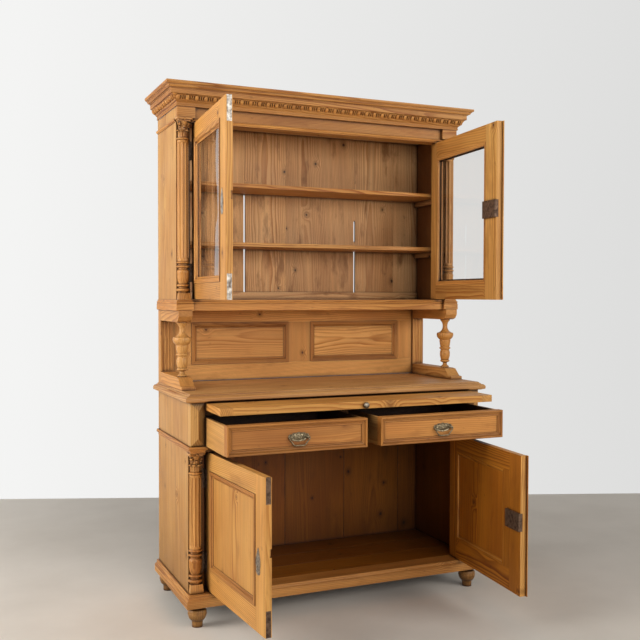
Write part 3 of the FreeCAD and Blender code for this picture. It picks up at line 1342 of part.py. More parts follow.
def all_nodes():
    """Every node of the dresser, by name, as a list of solids."""
    fixed = (
        feet, plinth_moulding, base_floor, base_sides, base_back_boards, corner_stiles, base_columns,
        corner_blocks, belt_moulding, drawer_rails, drawer_runners, shelf_cleats, worktop, gallery_sides,
        gallery_back_frame, gallery_panels, balusters, waist_moulding, upper_top_and_floor, upper_sides,
        upper_columns, upper_back_boards, upper_shelves, frieze, cornice_mouldings, cornice_bead_course,
        carcass_hinges, slide_board, slide_board_knob,
    )
    nodes = {make.__name__: make() for make in fixed}
    nodes.update(door_nodes("lower", LOWER_DOOR, True, LOWER_LEFT_OPEN_ANGLE))
    nodes.update(door_nodes("lower", LOWER_DOOR, False, LOWER_RIGHT_OPEN_ANGLE))
    nodes.update(door_nodes("upper", UPPER_DOOR, True, UPPER_LEFT_OPEN_ANGLE))
    nodes.update(door_nodes("upper", UPPER_DOOR, False, UPPER_RIGHT_OPEN_ANGLE))
    nodes.update(drawer_nodes(True))
    nodes.update(drawer_nodes(False))
    return nodes


os.makedirs("parts", exist_ok=True)
for node, solids in all_nodes().items():
    shape = solids[0] if len(solids) == 1 else Part.makeCompound(solids)
    shape.exportStep("parts/" + node + ".step")
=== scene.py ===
import json
import random
from math import atan, ceil, copysign, cos, exp, hypot, pi, radians, sin, sqrt

import bmesh
import bpy
from mathutils import Matrix, Vector

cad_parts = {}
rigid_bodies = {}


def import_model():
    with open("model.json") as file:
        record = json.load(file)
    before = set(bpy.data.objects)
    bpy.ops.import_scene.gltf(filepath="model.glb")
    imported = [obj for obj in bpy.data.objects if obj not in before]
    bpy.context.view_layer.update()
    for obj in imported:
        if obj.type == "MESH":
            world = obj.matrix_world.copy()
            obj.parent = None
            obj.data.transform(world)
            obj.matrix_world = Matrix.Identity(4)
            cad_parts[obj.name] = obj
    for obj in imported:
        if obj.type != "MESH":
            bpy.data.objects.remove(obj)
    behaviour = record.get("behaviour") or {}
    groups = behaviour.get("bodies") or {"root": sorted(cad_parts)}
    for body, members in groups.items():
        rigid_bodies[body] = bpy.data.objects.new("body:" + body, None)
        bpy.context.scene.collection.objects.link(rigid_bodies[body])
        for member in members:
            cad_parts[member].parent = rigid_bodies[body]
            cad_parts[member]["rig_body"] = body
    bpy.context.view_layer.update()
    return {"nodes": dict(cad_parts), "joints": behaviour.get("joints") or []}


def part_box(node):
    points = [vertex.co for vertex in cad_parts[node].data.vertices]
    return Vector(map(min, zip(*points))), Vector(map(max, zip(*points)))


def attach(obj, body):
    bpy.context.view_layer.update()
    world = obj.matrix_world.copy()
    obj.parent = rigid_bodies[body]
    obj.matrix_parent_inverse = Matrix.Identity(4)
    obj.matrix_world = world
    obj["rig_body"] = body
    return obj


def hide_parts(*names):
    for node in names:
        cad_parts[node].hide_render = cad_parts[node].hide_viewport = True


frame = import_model()

# Lengths below are millimetres in the frame's axes; pieces are written in metres.
MM = 0.001
SIDE_X, OPENING_X, COLUMN_X, BOARDS_X, LEAF_X = 656.0, 598.0, 627.0, 636.0, 596.0
WIDTH, OPENING = (-SIDE_X, SIDE_X), (-OPENING_X, OPENING_X)
CORNERS = ((OPENING_X, SIDE_X), (-SIDE_X, -OPENING_X))
BACK_Y, BOARDS_Y, BASE_FRONT_Y, BLOCK_FRONT_Y = 263.5, 251.5, -225.5, -264.5
RAIL_FRONT_Y, RAIL_BACK_Y = -248.5, -190.5
UPPER_FRONT_Y, UPPER_BLOCK_Y, UPPER_RAIL_Y = -50.5, -75.5, -59.5
PLINTH_FOOT, PLINTH_TOP, BELT_FOOT, BELT_TOP = 85.0, 133.0, 686.0, 712.0
SLOT_TOP, WORKTOP_TOP, BALUSTER_FOOT = 883.0, 917.0, 965.0
WAIST_FOOT, WAIST_TOP, UPPER_OPENING_TOP = 1236.0, 1280.0, 2000.0
FRIEZE_FOOT, CORNICE_FOOT, CORNICE_TOP = 2015.0, 2060.0, 2150.0
CORNICE_REACH, CORNICE_RISE = 57, 90
GALLERY_PANELS_X = ((-515, -54), (54, 515))
GALLERY_RAILS = (72, 60)
GALLERY_THICK, PANEL_DEPTH = 22, 8
DRAWER_Y, DRAWER_LOW, DRAWER_HIGH = RAIL_FRONT_Y - 280, 2, 115
PULL_X, PULL_Z, PULL_POST = 312.5, 771.0, 33.0
RAIL_DEPTH = 62
BOLT_Y, BOLT_X, BOLT_HALF, BOLT_RISE = 44.5, (-12, -3), 4.5, 15
# Front, foot and top of a door, widths of its stiles at the lock and the hinge, heights of its rails
DOORS = {"lower": (BASE_FRONT_Y, PLINTH_TOP, BELT_FOOT, 83, 64, 86, 72),
         "upper": (UPPER_FRONT_Y, WAIST_TOP, UPPER_OPENING_TOP, 88, 50, 65, 66)}
DOOR_DEPTH = 32
# Joints of the upper back boards as shares of the width, and the heights at which light shows through them
JOINTS = (0, 0.294, 0.453, 0.730, 0.895, 1)
SLITS = {1: ((1288, 1518), (1530, 1750)), 3: ((1288, 1512), (1560, 1650))}
SLIT_HALF, SLIT_TAPER = 4.5, 9
ARRIS = 1.1

# Outlines in shares of width and height, from (0, 0) and, where they don't close themselves, to (0, 1); a third
# number is the swell of the side that follows, in shares of its length
PLINTH = ((1, 0), (1, 0.58), (0.88, 0.61), (0.88, 0.68, -0.22), (0.50, 0.86), (0.50, 0.90, 0.30), (0.22, 1))
BELT = ((0.15, 0), (0.15, 0.14, -0.25), (0.85, 0.50), (1, 0.56), (1, 0.82, 0.2), (0.55, 1))
WORKTOP = ((0.45, 0), (0.70, 0.10, 0.25), (1, 0.24), (1, 0.44, 0.18), (0.50, 0.72, -0.2), (0.34, 0.84), (0.16, 0.84),
           (0.16, 0.93))
WAIST = ((1, 0), (1, 0.60), (0.70, 0.62), (0.70, 0.68, 0.30), (0.70, 0.84), (0.38, 0.86), (0.38, 1))
NECK_BEAD = ((0.4, 0), (0.4, 0.2, 0.5), (0.4, 0.9), (0.4, 1))
CORNICE = ((0.07, 0), (0.07, 0.05, -0.25), (0.17, 0.20), (0.21, 0.245), (0.47, 0.475), (0.58, 0.49), (0.58, 0.70),
           (0.64, 0.71), (0.64, 0.74, 0.25), (0.82, 0.83), (0.86, 0.83), (0.86, 0.86, 0.20), (1, 0.93), (1, 1))
PANEL_MOULDING = ((1, 0), (1, 0.18, -0.2), (0.72, 0.46), (0.66, 0.46, 0.3), (0.30, 0.92), (0.24, 1))
GLASS_BEAD = ((1, 0), (1, 0.55, 0.15), (0.78, 1))
DRAWER_MOULDING = ((1, 0), (1, 0.12, 0.30), (0.80, 0.30), (0.74, 0.22), (0.70, 0.30, -0.18), (0.44, 0.78),
                   (0.38, 0.70), (0.33, 0.80, 0.28), (0.03, 0.80), (0, 0.70))
FOOT = ((0.55, 0), (0.55, 0.15), (0.58, 0.28, 0.10), (0.96, 0.56, 0.12), (0.96, 0.68, 0.20), (0.66, 0.88), (0.66, 1))
TURNING = ((0.84, 0), (0.84, 0.04), (0.90, 0.05, 0.5), (0.90, 0.14), (0.78, 0.15), (0.78, 0.19), (0.86, 0.20, 0.5),
           (0.86, 0.27), (0.74, 0.28, 0.06), (0.98, 0.60, 0.16), (0.84, 0.73), (0.78, 0.74), (0.78, 0.78),
           (0.90, 0.79, 0.5), (0.90, 0.86), (0.80, 0.87), (0.80, 0.91), (0.92, 0.92, 0.5), (0.92, 0.98), (0.90, 1))
BELL = ((0.86, 0), (0.92, 0.02, 0.5), (0.92, 0.11), (0.74, 0.13), (0.76, 0.50, -0.08), (0.98, 0.84), (0, 0.84))
BALUSTER = ((0.51, 0), (0.51, 0.025), (0.26, 0.06), (0.26, 0.10), (0.46, 0.115, 0.45), (0.46, 0.16), (0.52, 0.175),
            (0.56, 0.20, 0.06), (0.60, 0.34), (0.54, 0.355), (0.54, 0.37), (0.61, 0.385, 0.4), (0.61, 0.42),
            (0.56, 0.43), (0.60, 0.445), (0.70, 0.56), (0.66, 0.575), (0.74, 0.59, 0.18), (1, 0.72, -0.20),
            (0.30, 0.86, -0.12), (0.60, 0.98), (0.60, 1))
KNOB = ((0.62, 0), (0.62, 0.10), (0.42, 0.18), (0.42, 0.30), (0.80, 0.42, 0.28), (0.78, 0.84, 0.10))
POST = ((1, 0), (1, 0.12), (0.72, 0.2), (0.60, 0.3), (0.58, 0.72), (0.78, 0.8), (0.9, 0.92), (0.5, 1))
BOSS = ((1, 0), (0.94, 0.45, 0.2), (0.3, 1))
BUTTON = ((4.6, 0), (4.9, 1.5), (3.4, 3.0), (1.0, 3.6))
# Lower left and upper right of the pull plate's outline
PLATE_FOOT = ((-0.5, 0.02), (-0.48, -0.16), (-0.36, -0.24), (-0.30, -0.40), (-0.14, -0.46), (0, -0.5))
PLATE_TOP = ((0.46, 0.26), (0.34, 0.30), (0.26, 0.42), (0.12, 0.42), (0, 0.5))


def linear(r, g, b):
    """Linear colour from 0-255 sRGB."""
    def channel(value):
        value /= 255
        return value / 12.92 if value <= 0.04045 else ((value + 0.055) / 1.055) ** 2.4
    return (channel(r), channel(g), channel(b), 1.0)


class Nodes:
    """Short way to build the nodes of a material or of the world."""

    def __init__(self, name, world=False):
        self.owner = (bpy.data.worlds if world else bpy.data.materials).new(name)
        self.owner.use_nodes = True
        self.tree = self.owner.node_tree
        self.tree.nodes.clear()
        self.out = self.tree.nodes.new("ShaderNodeOutputWorld" if world else "ShaderNodeOutputMaterial")

    def make(self, kind, settings=None, **links):
        node = self.tree.nodes.new(kind)
        for key, value in (settings or {}).items():
            setattr(node, key, value)
        for key, value in links.items():
            index = int(key[1:]) if key[0] == "i" and key[1:].isdigit() else key.replace("_", " ")
            socket = node.inputs[index]
            if isinstance(value, bpy.types.NodeSocket):
                self.tree.links.new(value, socket)
            else:
                socket.default_value = value
        return node

    def math(self, operation, *values, clamp=False):
        links = {"i" + str(index): value for index, value in enumerate(values)}
        return self.make("ShaderNodeMath", {"operation": operation, "use_clamp": clamp}, **links).outputs[0]

    def times(self, a, b, clamp=False):
        return self.math("MULTIPLY", a, b, clamp=clamp)

    def fused(self, a, factor, plus):
        return self.math("MULTIPLY_ADD", a, factor, plus)

    def stretch(self, vector, scale):
        return self.make("ShaderNodeVectorMath", {"operation": "MULTIPLY"}, i0=vector, i1=scale).outputs[0]

    def length(self, vector):
        return self.make("ShaderNodeVectorMath", {"operation": "LENGTH"}, i0=vector).outputs["Value"]

    def split(self, vector):
        return self.make("ShaderNodeSeparateXYZ", Vector=vector).outputs

    def attribute(self, name, output="Fac"):
        return self.make("ShaderNodeAttribute", {"attribute_name": name}).outputs[output]

    def place(self, output="Object"):
        return self.make("ShaderNodeTexCoord").outputs[output]

    def occlusion(self, samples, distance, local=False):
        return self.make("ShaderNodeAmbientOcclusion", {"samples": samples, "only_local": local},
                         Distance=distance).outputs["AO"]

    def bump(self, height, strength, distance):
        return self.make("ShaderNodeBump", Strength=strength, Distance=distance, Height=height).outputs[0]

    def noise(self, vector, scale, detail=2.0, rough=0.5):
        return self.make("ShaderNodeTexNoise", Vector=vector, Scale=scale, Detail=detail, Roughness=rough).outputs[0]

    def ramp(self, value, stops, smooth="LINEAR"):
        node = self.make("ShaderNodeValToRGB", Fac=value)
        node.color_ramp.interpolation = smooth
        ramp = node.color_ramp.elements
        while len(ramp) < len(stops):
            ramp.new(0.5)
        for element, (place, colour) in zip(ramp, stops):
            element.position = place
            element.color = self.colour(colour) if isinstance(colour, tuple) else (colour, colour, colour, 1)
        return node.outputs[0]

    def mix(self, factor, a, b, blend="MIX"):
        settings = {"data_type": "RGBA", "blend_type": blend}
        return self.make("ShaderNodeMix", settings, i0=factor, i6=self.colour(a), i7=self.colour(b)).outputs[2]

    @staticmethod
    def colour(value):
        return linear(*value) if isinstance(value, tuple) else value

    def surface(self, shader):
        self.tree.links.new(shader, self.out.inputs[0])
        return self.owner

    def principled(self, **links):
        return self.surface(self.make("ShaderNodeBsdfPrincipled", **links).outputs[0])


KNOT, DARK_KNOT = (84, 44, 20), (44, 22, 10)
# Painted-shade colours for faces inside the case
PAINTED_SHADE_INSIDE = ((158, 98, 24), (106, 58, 6))


def wood(name, pale, deep, knot=KNOT, rings=0.0065, contrast=0.6, rough=0.5, grime_and_shade=0.8, knots=0.4, stains=0.35,
         hollow=0.22, inside_shade=None):
    """Old pine cut from a log: growth rings round a pith, streaks, knots and patina, with wax and dirt in the corners
    mixed with painted shade, and painted shade in recesses.
    """
    n = Nodes(name)
    place = n.attribute("grain", "Vector")

    def field(scale, detail=2.0, roughness=0.5):
        return n.noise(n.stretch(place, scale), 1.0, detail, roughness)

    parts = n.split(place)
    cells = n.make("ShaderNodeCombineXYZ", X=parts[0], Y=n.fused(parts[2], 0.8, 0.0)).outputs[0]
    spots = n.make("ShaderNodeTexVoronoi", {"voronoi_dimensions": "2D"}, Vector=cells, Scale=5.2)
    chance = n.make("ShaderNodeSeparateColor", Color=spots.outputs["Color"])
    near = n.math("DIVIDE", spots.outputs["Distance"], 5.2)
    near = n.math("SUBTRACT", n.math("ADD", near, n.times(field((130, 130, 80)), 0.006)), 0.003)
    keep = n.math("LESS_THAN", chance.outputs[0], knots)
    reach = n.math("DIVIDE", near, n.fused(chance.outputs[1], 0.0065, 0.0035))
    bulge = n.math("EXPONENT", n.times(n.times(reach, reach), -0.10))
    bulge = n.times(n.times(bulge, keep), 0.016)
    shifted = n.fused(field((6, 6, 1.3), 3.0), 0.036, n.length(n.stretch(place, (1, 1, 0))))
    shifted = n.math("ADD", n.fused(field((60, 60, 5)), 0.0022, shifted), bulge)
    phase = n.math("FRACT", n.math("DIVIDE", shifted, rings))
    late = n.ramp(phase, [(0.0, 0.0), (0.45, 0.08), (0.84, 1.0), (0.95, 0.9), (1.0, 0.0)], "B_SPLINE")
    late = n.times(late, n.times(field((14, 14, 0.8), 1.0), 2.0 * contrast), clamp=True)
    # Faces marked inward, inside the case or on the inner face of a door that stands open, get painted-shade colours.
    if inside_shade:
        inward = n.attribute("inward")
        pale, deep = n.mix(inward, pale, inside_shade[0]), n.mix(inward, deep, inside_shade[1])
    colour = n.mix(late, pale, deep)
    streaks = n.ramp(field((75, 75, 1.6), 4.0, 0.62), [(0.30, 0.62), (0.72, 1.18)])
    colour = n.mix(0.5, colour, streaks, "MULTIPLY")
    patina = n.ramp(field((5, 5, 2.0), 3.0), [(0.30, (205, 178, 150)), (0.70, 1.0)])
    colour = n.mix(0.6, colour, patina, "MULTIPLY")
    stain = n.ramp(field((16, 16, 4.5), 4.0, 0.6), [(0.56, 0.0), (0.68, 1.0)])
    colour = n.mix(n.times(stain, stains), colour, n.mix(0.5, deep, knot))
    tone = n.ramp(n.attribute("board"), [(0.0, (222, 206, 192)), (0.5, (255, 250, 246)), (1.0, (255, 238, 214))])
    colour = n.mix(0.8, colour, tone, "MULTIPLY")
    glow = n.times(n.ramp(n.math("DIVIDE", reach, 3.2), [(0.2, 0.55), (1.0, 0.0)], "EASE"), keep)
    colour = n.mix(glow, colour, n.mix(0.7, deep, knot))
    halo = n.times(n.ramp(reach, [(0.28, 1.0), (1.0, 0.0)], "EASE"), keep)
    colour = n.mix(halo, colour, knot)
    dents = n.ramp(field((55, 55, 28), 2.0, 0.4), [(0.70, 0.0), (0.78, 1.0)])
    colour = n.mix(n.times(dents, 0.35), colour, knot)
    # Darker in creases and where parts meet: partly real dirt and wax, partly painted shade.
    dirt_and_shade = n.ramp(n.occlusion(8, 0.02), [(0.42, 1.0), (0.93, 0.0)], "EASE")
    colour = n.mix(n.times(dirt_and_shade, grime_and_shade), colour, (62, 28, 9))
    # Painted shade: recesses and the inside of the case darker, reaching as far as hollow.
    painted_shade = n.ramp(n.occlusion(6, hollow), [(0.08, (60, 36, 18)), (0.52 if hollow < 0.3 else 0.84, 1.0)])
    colour = n.mix(1.0, colour, painted_shade, "MULTIPLY")
    relief = n.math("ADD", n.fused(late, 0.25, n.times(dents, -1.2)), field((420, 420, 14)))
    return n.principled(Base_Color=colour, Roughness=n.fused(n.noise(place, 9.0, 3.0), 0.22, rough - 0.11),
                        Normal=n.bump(relief, 0.35, 0.0006), IOR=1.45, Specular_IOR_Level=0.35)


def metal(name, colour, dark, rough, metallic=1.0, spots=0.5, scale=90.0):
    """Old metal: patches of tarnish and grime over a brighter ground."""
    n = Nodes(name)
    place = n.place()
    patches = n.ramp(n.noise(place, scale, 4.0, 0.65), [(0.38, 0.0), (0.66, 1.0)])
    corner = n.ramp(n.occlusion(6, 0.003, True), [(0.35, 0.9), (0.85, 0.0)])
    amount = n.math("MAXIMUM", n.times(patches, spots), corner)
    return n.principled(Base_Color=n.mix(amount, colour, dark), Metallic=metallic,
                        Roughness=n.fused(amount, 0.30, rough), Normal=n.bump(n.noise(place, scale * 8), 0.4, 0.0003))


def window_glass():
    """Old pane: clear, with a slight waviness in what it reflects."""
    n = Nodes("old_glass")
    waves = n.bump(n.noise(n.stretch(n.place(), (5, 5, 3)), 1.0, 1.0), 0.12, 0.02)
    clear = n.make("ShaderNodeBsdfTransparent", Color=(0.985, 0.985, 0.98, 1))
    shine = n.make("ShaderNodeBsdfGlossy", Color=(1, 1, 1, 1), Roughness=0.01, Normal=waves)
    front_face = n.math("SUBTRACT", 1.0, n.make("ShaderNodeNewGeometry").outputs["Backfacing"])
    share = n.times(n.make("ShaderNodeFresnel", IOR=1.5).outputs[0], front_face)
    return n.surface(n.make("ShaderNodeMixShader", Fac=share, i1=clear.outputs[0],
                            i2=shine.outputs[0]).outputs[0])


# Where given, hollow sets how far a pine's painted shade in recesses reaches, and the inside colours are painted shade
# on faces that look into the case.
case_wood = wood("pine_case", (222, 178, 108), (178, 120, 54), contrast=0.8, hollow=0.6, inside_shade=PAINTED_SHADE_INSIDE)
upper_side_wood = wood("pine_upper_case", (214, 170, 102), (172, 114, 50), contrast=0.8, hollow=0.3,
                       inside_shade=((220, 160, 94), (170, 110, 54)))
front_wood = wood("pine_front", (232, 182, 104), (182, 120, 50), contrast=0.9)
# Front pine with painted shade on the inner face of the open lower right door.
shade_wood = wood("pine_front_painted_shade", (232, 182, 104), (182, 120, 50), contrast=0.9,
                  inside_shade=((204, 136, 44), (136, 74, 16)))
drawer_wood = wood("pine_drawer", (214, 154, 82), (164, 102, 42))
moulding_wood = wood("pine_moulding", (222, 168, 96), (166, 104, 42), rings=0.005, knots=0.12, contrast=0.9)
dark_moulding_wood = wood("pine_moulding_brown", (200, 144, 76), (138, 88, 34), rings=0.005, knots=0.0, grime_and_shade=0.95)
beaded_wood = wood("pine_beaded", (218, 162, 90), (176, 114, 50), rings=0.005, knots=0.0, grime_and_shade=0.5, stains=0.1)
worktop_wood = wood("pine_worktop", (226, 180, 116), (176, 120, 64), contrast=0.9)
gallery_wood = wood("pine_gallery", (246, 190, 110), (200, 132, 56), rings=0.006, knots=0.6, contrast=0.8, hollow=0.28)
turned_wood = wood("pine_turned", (220, 168, 98), (158, 102, 44), rings=0.006, rough=0.38, knots=0.1, grime_and_shade=0.85)
foot_wood = wood("pine_feet", (178, 132, 72), (112, 76, 34), rough=0.38, knots=0.1)
inside_wood = wood("pine_inside", (240, 198, 142), (190, 134, 80), (56, 34, 20), contrast=0.8, knots=0.75, stains=0.8)
deep_back_wood = wood("pine_back", (206, 156, 94), (158, 104, 54), DARK_KNOT, knots=0.6, hollow=0.4, inside_shade=PAINTED_SHADE_INSIDE)
# Painted shade: dark pine for the floor of the base.
painted_shade_floor_wood = wood("pine_inside_painted_shade", (160, 100, 26), (106, 58, 6), DARK_KNOT, knots=0.6, hollow=0.4)
iron = metal("iron", (112, 88, 70), (48, 28, 18), 0.5, 0.6, 0.85, 60.0)
steel = metal("bright_steel", (176, 170, 160), (84, 62, 48), 0.42, 1.0, 0.8, 60.0)
worn_steel = metal("worn_steel", (158, 148, 134), (64, 50, 40), 0.38, 1.0, 0.7, 110.0)
brass = metal("aged_brass", (142, 128, 102), (56, 46, 36), 0.36, 1.0, 0.8, 160.0)
nickel = metal("nickel", (150, 140, 124), (70, 58, 46), 0.28, 1.0, 0.6)
glass = window_glass()


def rounded(shares, width, height, fillet=0.7, turn=0.22):
    """Outline in millimetres, its swells as fine arcs and its corners a little worn."""
    shares = ((0, 0), *shares, (0, 1)) if shares[-1][0] else ((0, 0), *shares)
    points = [(p[0] * width, p[1] * height) + tuple(p[2:]) for p in shares]
    ring = []
    for first, second in zip(points, points[1:] + points[:1]):
        ring.append((first[0], first[1]))
        if len(first) == 3:
            chord = (second[0] - first[0], second[1] - first[1])
            length = hypot(*chord)
            total = 4 * atan(2 * abs(first[2]))
            steps = max(2, ceil(total / turn))
            radius = length / (2 * sin(total / 2))
            side = copysign(1, first[2])
            for step in range(1, steps):
                angle = total * step / steps - total / 2
                run = 0.5 + radius * sin(angle) / length
                rise = radius * (cos(angle) - cos(total / 2)) * side / length
                ring.append((first[0] + chord[0] * run + chord[1] * rise, first[1] + chord[1] * run - chord[0] * rise))
    soft = []
    for index, point in enumerate(ring):
        before, after = Vector(ring[index - 1]), Vector(ring[(index + 1) % len(ring)])
        here = Vector(point)
        a, b = before - here, after - here
        if point[0] > 1e-6 and a.length > 1e-6 and b.length > 1e-6 and pi - a.angle(b) > 0.4:
            near, far = (here + way.normalized() * min(fillet, way.length * 0.3) for way in (a, b))
            soft += [tuple(near), tuple((near + far) / 4 + here / 2), tuple(far)]
        else:
            soft.append(tuple(here))
    return soft


def placed(name, data):
    """New object in the scene."""
    thing = bpy.data.objects.new(name, data)
    bpy.context.scene.collection.objects.link(thing)
    return thing


class Piece:
    """A mesh gathered from boards, each with its own place in the log it came from."""

    def __init__(self, name):
        self.name = name
        self.random = random.Random(name)
        self.co, self.faces, self.grain, self.board = [], [], [], []

    def add(self, points, faces, axes=None, tone=None):
        """points in millimetres; axes are the unit vectors across, through and along the grain."""
        base = len(self.co)
        across, through, along = (Vector(a) for a in axes or ((1, 0, 0), (0, 1, 0), (0, 0, 1)))
        middle = sum((Vector(p) for p in points), Vector()) / len(points)
        number = self.random.random() if tone is None else tone
        pith = (self.random.uniform(-0.10, 0.10), self.random.uniform(0.02, 0.10))
        tilt = self.random.uniform(-0.05, 0.05)
        start = self.random.uniform(0, 40)
        for point in points:
            q = (Vector(point) - middle) * MM
            w = q.dot(along)
            self.co.append([c * MM for c in point])
            self.grain.append((q.dot(across) + pith[0] + tilt * w, q.dot(through) + pith[1], w + start))
            self.board.append(number)
        self.faces += [[base + i for i in face] for face in faces]

    def finish(self, body, nodes, slot, material, smooth=None):
        """smooth is the widest angle in degrees that is shaded smoothly; boards have weighted normals instead."""
        mesh = bpy.data.meshes.new(self.name)
        mesh.from_pydata(self.co, [], self.faces)
        bm = bmesh.new()
        bm.from_mesh(mesh)
        bmesh.ops.recalc_face_normals(bm, faces=bm.faces)
        for face in bm.faces:
            face.smooth = True
        for edge in bm.edges:
            edge.smooth = edge.calc_face_angle(3.0) < radians(smooth or 38.0)
        bm.to_mesh(mesh)
        bm.free()
        grain = mesh.attributes.new("grain", "FLOAT_VECTOR", "POINT")
        grain.data.foreach_set("vector", [c for g in self.grain for c in g])
        mesh.attributes.new("board", "FLOAT", "POINT").data.foreach_set("value", self.board)
        turn_back = OPENED[body].to_3x3() if OPENED.get(body) else None
        # Mark faces that look into the case, and the inner faces of doors that stand open, for painted-shade colours.
        inward = []
        for face in mesh.polygons:
            if turn_back:
                share = (turn_back @ face.normal).y
            else:
                share = -face.normal.y if face.center.y > 0.2 else 0
                if abs(face.center.x) > 0.6:
                    share = max(share, -copysign(face.normal.x, face.normal.x * face.center.x))
            inward.append(1.0 if share > 0.7 else 0.0)
        mesh.attributes.new("inward", "FLOAT", "FACE").data.foreach_set("value", inward)
        mesh.materials.append(material)
        piece = placed(self.name, mesh)
        if not smooth:
            piece.modifiers.new("even_shading", "WEIGHTED_NORMAL").keep_sharp = True
        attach(piece, body)
        if nodes:
            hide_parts(*nodes)


def mitre(before, after):
    if before is None or after is None:
        return after or before
    share = 1 / (1 + before[0] * after[0] + before[1] * after[1])
    return ((before[0] + after[0]) * share, (before[1] + after[1]) * share)


def grid(rows, count, closed=True, caps=True):
    """Faces between rows of points, and one over each end."""
    around = count if closed else count - 1
    faces = [(i * count + k, i * count + (k + 1) % count, (i + 1) * count + (k + 1) % count, (i + 1) * count + k)
             for i in range(rows - 1) for k in range(around)]
    if caps:
        faces += [tuple(range(count)), tuple(range(rows * count - 1, (rows - 1) * count - 1, -1))]
    return faces


def sweep(piece, path, profile, plan, closed=False):
    """Mitred lengths of a profile on the right-hand side of a path, each cut from its own strip."""
    ends = path[1:] + path[:1] if closed else path[1:]
    stretches = list(zip(path, ends))
    normals = []
    for start, end in stretches:
        length = hypot(end[0] - start[0], end[1] - start[1])
        normals.append(((end[1] - start[1]) / length, (start[0] - end[0]) / length))
    for index, (start, end) in enumerate(stretches):
        normal = normals[index]
        before = normals[index - 1] if closed or index else None
        after = normals[(index + 1) % len(normals)] if closed or index + 1 < len(normals) else None
        first, last = mitre(before, normal), mitre(normal, after)
        points = [plan(at[0] + cut[0] * over, at[1] + cut[1] * over, height)
                  for at, cut in ((start, first), (end, last)) for over, height in profile]
        along = Vector(plan(*end, 0)) - Vector(plan(*start, 0))
        out = Vector(plan(start[0] + normal[0], start[1] + normal[1], 0)) - Vector(plan(*start, 0))
        along.normalize()
        piece.add(points, grid(2, len(profile)), (along.cross(out), out, along))


def turn(piece, profile, centre, steps=48, half=False, forward=False):
    """Turned shape from (radius, height) points; forward lays its axis towards the front, half makes its front half."""
    rows = [p for p in profile if p[0] > 1e-6]
    x, y, z = centre
    first = pi if half else 0
    points = []
    for radius, height in rows:
        for k in range(steps + half):
            angle = first + (2 * pi - first) * k / steps
            u, v = radius * cos(angle), radius * sin(angle)
            points.append((x + u, y - height, z + v) if forward else (x + u, y + v, z + height))
    piece.add(points, grid(len(rows), steps + half, not half))


def box(piece, x_pair, y_pair, z_pair, along="x", arris=ARRIS):
    """Board with slightly rounded edges."""
    loft(piece, [rectangle(x_pair, y_pair, z) for z in z_pair], along, arris)


def rectangle(x_pair, y_pair, z):
    return [(x_pair[i], y_pair[j], z) for i, j in ((0, 0), (1, 0), (1, 1), (0, 1))]


def bored(piece, x_pair, y_pair, z_pair, centre_y):
    """Rail with a blind hole in its underside, for the bolt of the left door."""
    foot, hole_y = z_pair[0], (centre_y - BOLT_HALF, centre_y + BOLT_HALF)
    loft(piece, [rectangle(x_pair, y_pair, z_pair[1]), rectangle(x_pair, y_pair, foot),
                 rectangle(BOLT_X, hole_y, foot), rectangle(BOLT_X, hole_y, foot + BOLT_RISE)], "x")


def loft(piece, rings, along, arris=ARRIS):
    """Board through rings of points, all with the same number of them."""
    bm = bmesh.new()
    loops = [[bm.verts.new(point) for point in ring] for ring in rings]
    for first, second in zip(loops, loops[1:]):
        for i in range(len(first)):
            after = i + 1 - len(first)
            bm.faces.new((first[i], first[after], second[after], second[i]))
    bm.faces.new(loops[0])
    bm.faces.new(loops[-1])
    bmesh.ops.recalc_face_normals(bm, faces=bm.faces)
    add_mesh(piece, bm, arris, along)


def grain_axes(points, along=None):
    """Across, through and along the grain of a board, from its extent on each axis."""
    size = [max(p[i] for p in points) - min(p[i] for p in points) for i in range(3)]
    order = sorted(range(3), key=lambda i: (size[i], i))
    if along:
        chosen = "xyz".index(along)
        order = [i for i in order if i != chosen] + [chosen]
    unit = [(1, 0, 0), (0, 1, 0), (0, 0, 1)]
    return unit[order[1]], unit[order[0]], unit[order[2]]


def add_mesh(piece, bm, arris, along=None, opened=None):
    """Adds a solid with worn edges; opened is the turn of a body that stands open at rest."""
    if arris:
        edges = [e for e in bm.edges if len(e.link_faces) == 2 and e.calc_face_angle(0) > 0.5]
        bmesh.ops.bevel(bm, geom=edges, offset=arris, segments=2, profile=0.6, affect="EDGES", clamp_overlap=True)
    bm.verts.index_update()
    points = [tuple(v.co) for v in bm.verts]
    faces = [[v.index for v in f.verts] for f in bm.faces]
    if opened:
        closed = [tuple(opened @ Vector(p)) for p in points]
        axes = [tuple(opened.inverted().to_3x3() @ Vector(a)) for a in grain_axes(closed, along)]
    else:
        axes = grain_axes(points, along)
    piece.add(points, faces, axes)
    bm.free()


